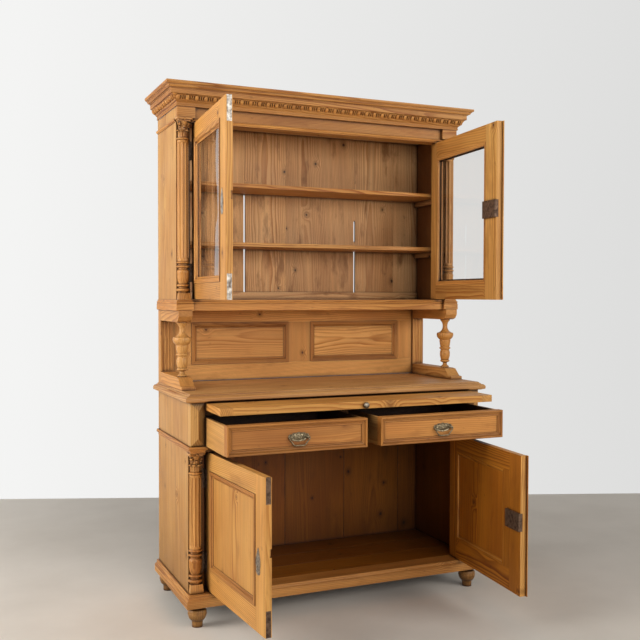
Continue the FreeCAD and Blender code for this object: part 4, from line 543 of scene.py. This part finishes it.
def solids_of(node):
    """The node's separate solids as meshes in millimetres."""
    mesh = frame["nodes"][node].data
    mesh.calc_loop_triangles()
    keys = {}
    corner = [keys.setdefault(tuple(round(c / 2e-6) for c in vert.co), len(keys)) for vert in mesh.vertices]
    place = {corner[v.index]: v.co / MM for v in mesh.vertices}
    triangles = [tuple(corner[i] for i in triangle.vertices) for triangle in mesh.loop_triangles]
    triangles = [names for names in triangles if len(set(names)) == 3]
    by_edge = {}
    for index, names in enumerate(triangles):
        for a, b in zip(names, names[1:] + names[:1]):
            by_edge.setdefault(frozenset((a, b)), []).append(index)
    parent = list(range(len(triangles)))

    def root(i):
        while parent[i] != i:
            parent[i] = parent[parent[i]]
            i = parent[i]
        return i
    for shared in by_edge.values():
        if len(shared) == 2:
            parent[root(shared[0])] = root(shared[1])
    groups = {}
    for index, names in enumerate(triangles):
        groups.setdefault(root(index), []).append(names)
    for group in groups.values():
        bm = bmesh.new()
        verts = {name: bm.verts.new(place[name]) for name in dict.fromkeys(name for names in group for name in names)}
        for names in group:
            try:
                bm.faces.new([verts[name] for name in names])
            except ValueError:
                pass
        bmesh.ops.recalc_face_normals(bm, faces=bm.faces)
        bmesh.ops.dissolve_limit(bm, angle_limit=radians(0.6), verts=bm.verts, edges=bm.edges)
        yield bm


OPENED = {}
for joint in frame["joints"]:
    if joint["name"].endswith("door_hinge"):
        anchor = Vector(joint["pos_m"]) / MM
        turned = Matrix.Rotation(radians(joint["range_deg"][0]), 4, Vector(joint["axis"]))
        OPENED[joint["child"]] = Matrix.Translation(anchor) @ turned @ Matrix.Translation(-anchor)


def dress(node, material, slot, arris=ARRIS, along=None, apart=None):
    """The node's solids again with worn edges and their own grain; apart is (test, name, material)."""
    body = frame["nodes"][node]["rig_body"]
    piece = Piece(node + "_worn")
    other = Piece(apart[1]) if apart else None
    for bm in solids_of(node):
        middle = sum((v.co for v in bm.verts), Vector()) / len(bm.verts)
        add_mesh(other if apart and apart[0](middle) else piece, bm, arris, along, OPENED.get(body))
    if apart:
        other.finish(body, [], slot, apart[2])
    piece.finish(body, [node], slot, material)


def level(height):
    """Plan of a moulding that runs round the case at a height."""
    return lambda u, v, over: (u, v, height + over)


def front(face_y, facing=-1, mirror=1, body=None):
    """Plan of a moulding on an upright face, which may be the back of it or be on a door that stands open at rest."""
    shut = OPENED[body].inverted() if body else Matrix()
    return lambda u, v, over: tuple(shut @ Vector((mirror * u, face_y + facing * over, v)))


def case_path(corner_y, between_y=None):
    left = [(-SIDE_X, BACK_Y), (-SIDE_X, corner_y)]
    if between_y:
        left += [(-OPENING_X, corner_y), (-OPENING_X, between_y)]
    return left + [(-x, y) for x, y in reversed(left)]


def border(piece, x_pair, z_pair, profile, plan):
    """Moulding round a panel, a pane or a drawer front."""
    (left, right), (low, high) = x_pair, z_pair
    sweep(piece, [(left, low), (left, high), (right, high), (right, low)], profile, plan, True)


# Mouldings of the case
piece = Piece("plinth_run")
box(piece, WIDTH, (BLOCK_FRONT_Y, RAIL_BACK_Y), (PLINTH_FOOT, PLINTH_TOP))
sweep(piece, case_path(BLOCK_FRONT_Y), rounded(PLINTH, 19, 48), level(PLINTH_FOOT))
piece.finish("carcass", ["plinth_moulding"], "pine_moulding", moulding_wood)

piece = Piece("belt_run")
bored(piece, OPENING, (RAIL_FRONT_Y, BASE_FRONT_Y + RAIL_DEPTH), (BELT_FOOT, BELT_TOP), BASE_FRONT_Y + BOLT_Y)
for x_pair in CORNERS:
    box(piece, x_pair, (BLOCK_FRONT_Y, BASE_FRONT_Y), (BELT_FOOT, BELT_TOP))
sweep(piece, case_path(BLOCK_FRONT_Y, RAIL_FRONT_Y), rounded(BELT, 9, 26), level(BELT_FOOT))
piece.finish("carcass", ["belt_moulding"], "pine_moulding", moulding_wood)

piece = Piece("worktop_board")
box(piece, WIDTH, (BLOCK_FRONT_Y, BACK_Y), (SLOT_TOP, WORKTOP_TOP))
sweep(piece, case_path(BLOCK_FRONT_Y), rounded(WORKTOP, 24, 34), level(SLOT_TOP))
piece.finish("carcass", ["worktop"], "pine_moulding", worktop_wood)

# The waist also has a board that closes the case below the upper back boards
piece = Piece("waist_run")
inner_y, board_top = UPPER_FRONT_Y + 32, WAIST_TOP - 18
box(piece, OPENING, (UPPER_RAIL_Y, inner_y), (WAIST_FOOT, WAIST_TOP))
for x_pair in CORNERS:
    box(piece, x_pair, (UPPER_BLOCK_Y, inner_y), (WAIST_FOOT, WAIST_TOP), "y")
    box(piece, x_pair, (inner_y, BACK_Y), (WAIST_FOOT, board_top), "y")
box(piece, OPENING, (241, 251), (WAIST_FOOT, board_top), "x")
sweep(piece, case_path(UPPER_BLOCK_Y, UPPER_RAIL_Y), rounded(WAIST, 7, 44), level(WAIST_FOOT))
piece.finish("carcass", ["waist_moulding"], "pine_moulding", moulding_wood)

piece = Piece("frieze_run")
bored(piece, OPENING, (UPPER_RAIL_Y, UPPER_FRONT_Y + RAIL_DEPTH), (UPPER_OPENING_TOP, CORNICE_FOOT),
      UPPER_FRONT_Y + BOLT_Y)
for x_pair in CORNERS:
    wide = (x_pair[0] - 17, x_pair[1]) if x_pair[0] > 0 else (x_pair[0], x_pair[1] + 17)
    box(piece, wide, (UPPER_BLOCK_Y, UPPER_RAIL_Y), (FRIEZE_FOOT, CORNICE_FOOT), "x")
    box(piece, x_pair, (UPPER_RAIL_Y, UPPER_FRONT_Y), (FRIEZE_FOOT, CORNICE_FOOT), "y")
for start, end in (((2 - OPENING_X, UPPER_RAIL_Y), (OPENING_X - 2, UPPER_RAIL_Y)),
                   ((SIDE_X, UPPER_FRONT_Y + 2), (SIDE_X, BACK_Y)), ((-SIDE_X, BACK_Y), (-SIDE_X, UPPER_FRONT_Y + 2))):
    sweep(piece, [start, end], rounded(NECK_BEAD, 7, 15), level(UPPER_OPENING_TOP))
piece.finish("carcass", ["frieze"], "pine_case", moulding_wood)

piece = Piece("cornice_run")
sweep(piece, case_path(UPPER_BLOCK_Y), rounded(CORNICE, CORNICE_REACH, CORNICE_RISE), level(CORNICE_FOOT))
box(piece, WIDTH, (UPPER_BLOCK_Y, BACK_Y), (CORNICE_TOP - 16, CORNICE_TOP))
box(piece, WIDTH, (UPPER_BLOCK_Y, UPPER_FRONT_Y), (CORNICE_FOOT, CORNICE_FOOT + 16), "x", 0.4)
piece.finish("carcass", ["cornice_mouldings"], "pine_moulding", moulding_wood)

# Long beads between pairs of thin reels, on the sloping bed of the cornice
foot, head = (Vector((u * CORNICE_REACH, v * CORNICE_RISE)) for u, v in CORNICE[3:5])
rise = head - foot
slope = rise.length
rise.normalize()
out = Vector((rise.y, -rise.x))
piece = Piece("cornice_beads")
path = case_path(UPPER_BLOCK_Y)
rows, ring = 8, 9
for start, end in zip(path, path[1:]):
    run = hypot(end[0] - start[0], end[1] - start[1])
    forward = Vector(((end[0] - start[0]) / run, (end[1] - start[1]) / run))
    normal = Vector((forward.y, -forward.x))
    at_start = 0 if start[1] == BACK_Y else -foot[0]
    usable = run - at_start - (0 if end[1] == BACK_Y else -foot[0])
    count = int(usable / 19.0)
    pitch = usable / count
    forms = (((0.0, 0.43 * pitch, 1.0),), ((-0.2 * pitch, 2.4, 0.86), (0.2 * pitch, 2.4, 0.86)))
    for middle, shift, half, swell in [(at_start + pitch * (cell + 0.5), *form)
                                       for cell in range(count) for form in forms[cell % 2]]:
        points = []
        for i in range(rows + 1):
            t = -1 + 2 * i / rows
            size = swell * (0.35 + 0.65 * sqrt(max(0.0, 1 - abs(t) ** 2.6)))
            for k in range(ring):
                angle = pi * k / (ring - 1)
                u = slope * (0.5 - 0.44 * size * cos(angle))
                b = 7.6 * size * sin(angle) ** 0.8 - 0.4
                over = foot[0] + rise.x * u + out.x * b
                base = Vector(start) + forward * (middle + shift + t * half) + normal * over
                points.append((base.x, base.y, CORNICE_FOOT + (foot[1] + rise.y * u + out.y * b)))
        piece.add(points, grid(rows + 1, ring, False),
                  ((0, 0, 1), (normal.x, normal.y, 0), (forward.x, forward.y, 0)))
piece.finish("carcass", ["cornice_bead_course"], "pine_moulding", beaded_wood, 60.0)


def tube(piece, points, radii, wide, widths=None, ring=8):
    """Bent bar through the points; wide is the direction of the second radius."""
    wide = Vector(wide).normalized()
    widths = widths or radii
    verts = []
    for index, point in enumerate(points):
        before = Vector(points[max(index - 1, 0)])
        after = Vector(points[min(index + 1, len(points) - 1)])
        normal = (after - before).normalized().cross(wide)
        for k in range(ring):
            angle = 2 * pi * k / ring
            verts.append(tuple(Vector(point) + normal * radii[index] * cos(angle)
                               + wide * widths[index] * sin(angle)))
    piece.add(verts, grid(len(points), ring))


def carved_leaf(piece, x, face_y, foot, degrees, low, tall, half, reach):
    """Upright leaf with a rib, lobed edges and a tip that curls out and down."""
    rows, columns, tip, curl = 16, 8, 0.66, 3.4
    front_face, back_face = [], []
    for i in range(rows + 1):
        s = i / rows
        if s < tip:
            out, up = reach + 1.5 * s, low + tall * s
        else:
            a = (s - tip) / 0.34 * 3.5
            out = reach + 1.0 + curl * (1 - cos(a))
            up = low + tall * tip + curl * 1.25 * sin(a) + tall * 0.06
        width = half * (1 - 0.42 * s) * (0.80 + 0.20 * abs(sin(s * pi * 3.0 + 0.5)))
        for k in range(columns + 1):
            t = -1 + 2 * k / columns
            rib = 1.3 * exp(-(t / 0.16) ** 2) + 0.7 * cos(t * pi * 3) - 1.1 * t * t
            for store, depth in ((front_face, rib), (back_face, rib - 2.6)):
                radius = out + depth
                angle = radians(degrees) + t * width / max(radius, 12.0)
                store.append((x + radius * sin(angle), face_y - radius * cos(angle), foot + up))
    count, total = columns + 1, len(front_face)
    top = rows * count
    faces = grid(rows + 1, count, False, False)
    faces += [tuple(total + i for i in reversed(face)) for face in faces]
    faces += [(a, a + count, total + a + count, total + a) for a in range(0, top, count)]
    faces += [(b + count, b, total + b, total + b + count) for b in range(columns, top, count)]
    faces += [(top + k, top + k + 1, total + top + k + 1, total + top + k) for k in range(columns)]
    piece.add(front_face + back_face, faces, None, 0.6)


def capital(piece, x, face_y, foot, height):
    """Bell with a ring, two tiers of leaves, corner scrolls and a hollow-sided top plate."""
    turn(piece, rounded(BELL, 26, height), (x, face_y, foot), 36, True)
    for turns, low, tall, half, reach in (((-78, -26, 26, 78), 0.13, 0.40, 11.5, 20.0),
                                          ((-52, 0, 52), 0.16, 0.60, 10.5, 19.4)):
        for degrees in turns:
            carved_leaf(piece, x, face_y, foot, degrees, height * low, height * tall, half, reach)
    for degrees in (-47, 47):
        turned = Matrix.Rotation(radians(degrees), 3, "Z")
        for side in (-1, 1):
            points, radii = [], []
            for step in range(40):
                angle = step / 39 * 4.4 * pi
                size = 8.4 * exp(-0.13 * angle)
                out = 25.0 + size * cos(angle + 2.2)
                up = height * 0.73 + size * sin(angle + 2.2)
                q = turned @ Vector((side * (2.6 + angle * 0.16), -out, 0))
                points.append((x + q.x, min(face_y + q.y, face_y), foot + up))
                radii.append(2.3 * exp(-0.07 * angle))
            wide = turned @ Vector((1, 0, 0))
            tube(piece, points, radii, wide, [r * 1.5 for r in radii])
    for width, depth, low, high in ((57, 28.5, 0.84, 0.91), (68, 34, 0.91, 1.0)):
        half, steps = width / 2, 10
        plan = [(-half, 0), (-half, -depth + 5), (half, -depth + 5), (half, 0)]
        plan[2:2] = [(-half + 5 + (width - 10) * step / steps, -depth + 3.2 * sin(pi * step / steps))
                     for step in range(steps + 1)]
        loft(piece, [[(x + u, face_y + v, foot + height * share) for u, v in plan] for share in (low, high)], "x", 1.0)
    turn(piece, BUTTON, (x, face_y - 30.4, foot + height * 0.93), 16, forward=True)


def shaft(piece, x, face_y, foot, height):
    """Half-round shaft with hollow flutes between narrow fillets."""
    radius, flutes, steps = 24.44, 5, 14
    margin, end = 9.0, 8.0
    levels = [0.0, margin * 0.5]
    levels += [margin + end * (1 - cos(k * pi / 10)) for k in range(6)]
    levels += [height - level for level in reversed(levels)]
    points, count = [], flutes * steps + 1
    for level_z in levels:
        inside = min(level_z - margin, height - margin - level_z)
        share = 0.0 if inside <= 0 else sqrt(1 - max(0.0, 1 - inside / end) ** 2)
        for k in range(count):
            angle = pi * k / (count - 1)
            t = 2 * ((k / steps) % 1.0) - 1
            hollow = 3.1 * sqrt(max(0.0, 1 - (t / 0.86) ** 2)) if abs(t) < 0.86 else 0.0
            r = radius - hollow * share
            points.append((x + r * cos(angle), face_y - r * sin(angle), foot + level_z))
    piece.add(points, grid(len(levels), count, False, False))


def column(piece, x, face_y, levels, block_height, turning_height, capital_height):
    foot, top = levels
    start = foot + block_height
    loft(piece, [rectangle((x - half, x + half), (face_y, face_y - half), z)
                 for half, z in ((28, foot), (24, start))], "z", 1.6)
    turn(piece, rounded(TURNING, 26, turning_height), (x, face_y, start), 36, True)
    shaft(piece, x, face_y, start + turning_height, top - capital_height - start - turning_height)
    capital(piece, x, face_y, top - capital_height, capital_height)


for tier, face_y, levels, sizes in (("base", BASE_FRONT_Y, (PLINTH_TOP, BELT_FOOT), (35, 139, 88)),
                                    ("upper", UPPER_FRONT_Y, (WAIST_TOP, FRIEZE_FOOT), (28, 130, 90))):
    piece = Piece(tier + "_carved_columns")
    for x in (-COLUMN_X, COLUMN_X):
        column(piece, x, face_y, levels, *sizes)
    piece.finish("carcass", [tier + "_columns"], "pine_turned", turned_wood, 42.0)

piece = Piece("gallery_balusters")
for x in (-COLUMN_X, COLUMN_X):
    turn(piece, rounded(BALUSTER, 37, 224), (x, BASE_FRONT_Y + 194, BALUSTER_FOOT))
piece.finish("carcass", ["balusters"], "pine_turned", turned_wood, 42.0)

piece = Piece("bun_feet")
for x in (-622, 622):
    for y in (-235.5, 235.5):
        turn(piece, rounded(FOOT, 38, 85), (x, y, 0))
piece.finish("carcass", ["feet"], "pine_turned", foot_wood, 42.0)

# Panels of the gallery
piece = Piece("gallery_panel_work")
edging = Piece("gallery_panel_moulding")
near = BOARDS_Y - GALLERY_THICK + PANEL_DEPTH
levels = (WORKTOP_TOP + 3 + GALLERY_RAILS[0], WAIST_FOOT - GALLERY_RAILS[1])
for x_pair in GALLERY_PANELS_X:
    box(piece, x_pair, (near, near + 10), levels, "x")
    border(edging, x_pair, levels, rounded(PANEL_MOULDING, 24, 11), front(near))
edging.finish("carcass", [], "pine_case", dark_moulding_wood)
piece.finish("carcass", ["gallery_panels"], "pine_case", gallery_wood)


def trim(piece, side, body, mouldings):
    """Mouldings round a door's panel or pane: the side they face, their depth from the front, inset and profile."""
    front_y, foot, top, lock_stile, hinge_stile, low_rail, high_rail = DOORS[body[:5]]
    z_pair = (foot + 3 + low_rail, top - 2 - high_rail)
    for facing, depth, inset, profile in mouldings:
        plan = front(front_y + DOOR_DEPTH + depth, facing, -1 if side == "left" else 1, body)
        border(piece, (1 + lock_stile + inset, LEAF_X - hinge_stile), z_pair, profile, plan)


# Doors, and which of their iron solids are brighter
BRIGHT = {"upper_left": (lambda m: m.y < -400, "upper_left_bright_plates", steel),
          "lower_left": (lambda m: m.y < -500 and 300 < m.z < 480, "lower_left_escutcheon", worn_steel)}
for side in ("left", "right"):
    # The lower right door's moulding and panel take the front pine with painted shade on its inner face.
    painted_shade_side = side == "right"
    body = "lower_" + side + "_door"
    piece = Piece(body + "_panel_moulding")
    inner_profile = rounded(PANEL_MOULDING, 20, 5.6)
    trim(piece, side, body, ((-1, 7, 0, rounded(PANEL_MOULDING, 24, 10)), (1, 19, 42, inner_profile)))
    piece.finish(body, [body + "_moulding"], "pine_front", shade_wood if painted_shade_side else dark_moulding_wood)
    dress(body + "_panel", shade_wood if painted_shade_side else front_wood, "pine_front", 0.6, "z")
    body = "upper_" + side + "_door"
    piece = Piece(body + "_glazing_beads")
    trim(piece, side, body, ((-1, 10, 0, rounded(PANEL_MOULDING, 24, 13)), (1, 13, 0, rounded(GLASS_BEAD, 18, 12))))
    piece.finish(body, [body + "_beads"], "pine_front", moulding_wood)
    panes = frame["nodes"][body + "_glass"].data.materials
    panes.clear()
    panes.append(glass)
    for tier in ("lower_", "upper_"):
        name = tier + side
        # The lower right door's frame takes the front pine with painted shade on its inner face.
        dress(name + "_door_frame", shade_wood if name == "lower_right" else front_wood, "pine_front", 0.9)
        dress(name + "_door_ironwork", iron, "iron", 0.35, apart=BRIGHT.get(name))


def drawn_in(edge, z):
    """How far a board's edge stands back from its joint at a height."""
    return max([0.0] + [SLIT_HALF * min(1.0, (z - low) / SLIT_TAPER + 1, (high - z) / SLIT_TAPER + 1)
                        for low, high in SLITS.get(edge, ())])


# Back boards of the upper part, shrunk so that light shows at two of their joints
piece = Piece("upper_back_boarding")
edges = [-BOARDS_X + 2 * BOARDS_X * share for share in JOINTS]
for index in range(len(edges) - 1):
    heights = {WAIST_TOP, CORNICE_FOOT}
    for edge in (index, index + 1):
        heights.update(z + step for pair in SLITS.get(edge, ())
                       for z, step in zip(pair * 2, (0, 0, -SLIT_TAPER, SLIT_TAPER)))
    rings = []
    for z in sorted(heights):
        left, right = edges[index] + drawn_in(index, z), edges[index + 1] - drawn_in(index + 1, z)
        rings.append(rectangle((left, right), (BOARDS_Y, BACK_Y), z))
    loft(piece, rings, "z")
box(piece, (-BOARDS_X, BOARDS_X), (245, 251), (WAIST_TOP, WAIST_TOP + 34), "x")
piece.finish("carcass", ["upper_back_boards"], "pine_inside", inside_wood)

# Drawers
for side, mirror in (("left", -1), ("right", 1)):
    body = "drawer_" + side
    z_pair = (BELT_TOP + DRAWER_LOW, BELT_TOP + DRAWER_HIGH)
    piece = Piece(body + "_moulded_front")
    span = tuple(sorted(mirror * x for x in (29, LEAF_X)))
    box(piece, span, (DRAWER_Y, DRAWER_Y + 22), z_pair, "x", 0.8)
    edging = Piece(body + "_front_moulding")
    border(edging, span, z_pair, rounded(DRAWER_MOULDING, 23, 12), front(DRAWER_Y))
    edging.finish(body, [], "pine_front", dark_moulding_wood)
    piece.finish(body, [body + "_front"], "pine_front", drawer_wood)
    dress(body + "_box", case_wood, "pine_inside", 0.9)

for slot, nodes in (
        ("pine_case", {"base_sides": case_wood, "upper_sides": upper_side_wood, "corner_stiles": case_wood,
                       "gallery_sides": moulding_wood, "gallery_back_frame": gallery_wood,
                       "drawer_rails": moulding_wood}),
        ("pine_turned", {"corner_blocks": case_wood}),
        ("pine_inside", {"base_floor": painted_shade_floor_wood, "base_back_boards": deep_back_wood, "upper_shelves": moulding_wood,
                         "shelf_cleats": inside_wood, "drawer_runners": inside_wood,
                         "upper_top_and_floor": inside_wood}),
        ("pine_front", {"slide_board": front_wood})):
    for node, material in nodes.items():
        dress(node, material, slot)
dress("carcass_hinges", iron, "iron", 0.3)
for node in frame["nodes"]:
    if node.endswith("_bolt"):
        bright = node.startswith("upper_left")
        dress(node, steel if bright else iron, "bright_steel" if bright else "iron", 0.3)


def smoothed(shape):
    """Four points to a side on the curve through a closed outline."""
    fine = []
    for i in range(len(shape)):
        p = [Vector(shape[(i + k - 1) % len(shape)]) for k in range(4)]
        for t in (0, 0.25, 0.5, 0.75):
            fine.append(0.5 * (2 * p[1] + (p[2] - p[0]) * t + (2 * p[0] - 5 * p[1] + 4 * p[2] - p[3]) * t * t
                               + (3 * p[1] - p[0] - 3 * p[2] + p[3]) * t ** 3))
    return fine


def drawer_pull(side, mirror):
    """Cast plate with a raised border and boss, two collared posts, and a hanging bail."""
    body = "drawer_" + side
    x, z, face_y = mirror * PULL_X, PULL_Z, DRAWER_Y
    fine = smoothed([(sign * a, b) for half in (PLATE_FOOT, PLATE_TOP)
                     for sign, points in ((1, half), (-1, half[-2::-1])) for a, b in points])
    piece = Piece(body + "_cast_plate")
    width, height = 84, 36
    tiers = [(1.0, 0.0), (1.0, 1.4), (0.97, 2.0), (0.90, 2.0), (0.86, 1.2), (0.62, 1.1), (0.58, 1.9), (0.30, 2.0)]
    points = [(x + p.x * width * k, face_y - out, z + p.y * height * k) for k, out in tiers for p in fine]
    piece.add(points, grid(len(tiers), len(fine), caps=False) + [tuple(range(len(points) - len(fine), len(points)))])
    post = rounded(POST, 6.0, 15.6, 0.4)
    for shift, profile in ((-PULL_POST, post), (PULL_POST, post), (0.0, rounded(BOSS, 8.0, 2.4, 0.3))):
        turn(piece, profile, (x + shift, face_y - 0.4, z), 24, forward=True)
    for sx in (-1, 1):
        curl = []
        for step in range(22):
            angle = step / 21 * 3.2 * pi
            size = 5.4 * exp(-0.16 * angle)
            curl.append((x + sx * (18.5 + size * cos(angle)), face_y - 2.0, z + size * sin(angle)))
        tube(piece, curl, [1.0] * len(curl), (0, 1, 0), ring=6)
    piece.finish(body, [body + "_pull_plate"], "aged_brass", brass, 50.0)
    piece = Piece(body + "_bail_handle")
    half, drop, bend = PULL_POST + 8, 31.5, 4.5
    y = face_y - 11
    corners = [(13 - half, 0), (-half, 0), (-half, -0.22 * drop), (-0.52 * half, -drop)]
    corners += [(-a, b) for a, b in reversed(corners)]
    points, radii = [], []
    for index, (a, b) in enumerate(corners):
        here = Vector((a, b))
        if 0 < index < len(corners) - 1:
            ways = [Vector(corner) - here for corner in corners[index - 1:index + 2:2]]
            q0, q1 = (here + way.normalized() * min(bend, way.length * 0.45) for way in ways)
            bends = [q0 * (1 - t) ** 2 + here * 2 * t * (1 - t) + q1 * t * t for t in (0, 0.25, 0.5, 0.75, 1)]
        else:
            bends = [here]
        for q in bends:
            points.append((x + q.x, y, z + q.y))
            radii.append(2.5 - 0.3 * max(0.0, 1 - abs(q.y + 16) / 16))
    tube(piece, points, radii, (0, 1, 0), ring=14)
    piece.finish(body + "_handle", [body + "_bail"], "aged_brass", brass, 50.0)


drawer_pull("left", -1)
drawer_pull("right", 1)

piece = Piece("turned_knob")
knob_low, knob_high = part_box("slide_board_knob")
knob_z = (knob_low.z + knob_high.z) / 2 / MM
turn(piece, rounded(KNOB, 12, 20, 0.5, 0.15), (0, knob_high.y / MM, knob_z), 40, forward=True)
piece.finish("pull_out_board", ["slide_board_knob"], "nickel", nickel, 50.0)

# Depth in metres of the floor's far edge at its left and right ends
FLOOR_EDGE = (5.32, -1.51)
AMBIENT = 0.08
WARM, PALE = (1.0, 0.98, 0.95), (1.0, 0.985, 0.96)
LAMPS = (("side_key", (-4.2, 0.1, 1.8), (0, -0.2, 1.0), (2.4, 2.0), 108, PALE),
         ("high_key", (-3.4, -0.8, 3.4), (0, 0, 1.0), (2.4, 2.0), 50, PALE),
         ("front", (-0.4, -4.7, 2.1), (0, 0, 1.1), (2.4, 1.6), 76, WARM),
         ("fill", (2.8, -3.8, 2.4), (0, 0, 1.1), (2.4, 2.0), 78, WARM))

# Pale concrete floor with a painted glow that grows away from the case and to the left, white surroundings, two soft
# lights from the left, one in front and one at the right
n = Nodes("studio_floor")
place = n.place()
colour = n.ramp(n.noise(place, 1.1, 5.0, 0.55), [(0.32, (216, 208, 197)), (0.70, (236, 229, 219))])
# Painted light: the floor glows more far from the case and more to the left.
far = n.ramp(n.math("DIVIDE", n.length(place), 6.0), [(0.20, 0.0), (0.75, 1.0)])
leftward = n.ramp(n.fused(n.split(place)[0], -0.14, 0.5), [(0.10, 0.55), (0.80, 1.0)])
n.principled(Base_Color=colour, Roughness=0.6, Specular_IOR_Level=0.2, Emission_Color=linear(216, 210, 201),
             Emission_Strength=n.times(n.times(far, leftward), 0.46))
mesh = bpy.data.meshes.new("studio_floor")
mesh.from_pydata([(-9, -9, 0), (9, -9, 0), (9, FLOOR_EDGE[1], 0), (-9, FLOOR_EDGE[0], 0)], [], [(0, 1, 2, 3)])
mesh.materials.append(n.owner)
floor = placed("studio_floor", mesh)

n = Nodes("studio", True)
rays = n.make("ShaderNodeLightPath").outputs
seen = n.math("MAXIMUM", rays["Is Camera Ray"], rays["Is Glossy Ray"])
seen = n.math("MAXIMUM", seen, rays["Is Transmission Ray"])
lit = n.make("ShaderNodeBackground", Color=(1.0, 0.98, 0.96, 1), Strength=AMBIENT)
# Painted shade: the backdrop seen by the camera is darker towards one side.
painted_shade = n.ramp(n.split(n.place("Generated"))[0], [(0.08, (244, 244, 243)), (0.68, (222, 222, 221))])
wall = n.make("ShaderNodeBackground", Color=painted_shade, Strength=1.0)
n.surface(n.make("ShaderNodeMixShader", Fac=seen, i1=lit.outputs[0], i2=wall.outputs[0]).outputs[0])
bpy.context.scene.world = n.owner

for name, place, aim, size, power, colour in LAMPS:
    lamp = bpy.data.lights.new(name, "AREA")
    lamp.shape = "RECTANGLE"
    lamp.size, lamp.size_y = size
    lamp.energy = power
    lamp.color = colour
    holder = placed(name, lamp)
    holder.location = place
    holder.rotation_euler = (Vector(aim) - Vector(place)).to_track_quat("-Z", "Y").to_euler()

# Camera at the place and angle from which the photograph was taken
yaw, pitch, roll = radians(23.59), radians(1.6), radians(0.12)
data = bpy.data.cameras.new("photo_camera")
data.sensor_width = 36.0
data.lens = 49.68
data.clip_start, data.clip_end = 0.05, 60.0
camera = placed("photo_camera", data)
camera.matrix_world = (Matrix.Translation((-1.5571, -3.5744, 1.2995)) @ Matrix.Rotation(-yaw, 4, "Z")
                       @ Matrix.Rotation(pi / 2 - pitch, 4, "X") @ Matrix.Rotation(roll, 4, "Z"))
bpy.context.scene.camera = camera
bpy.context.scene.view_settings.view_transform = "Standard"
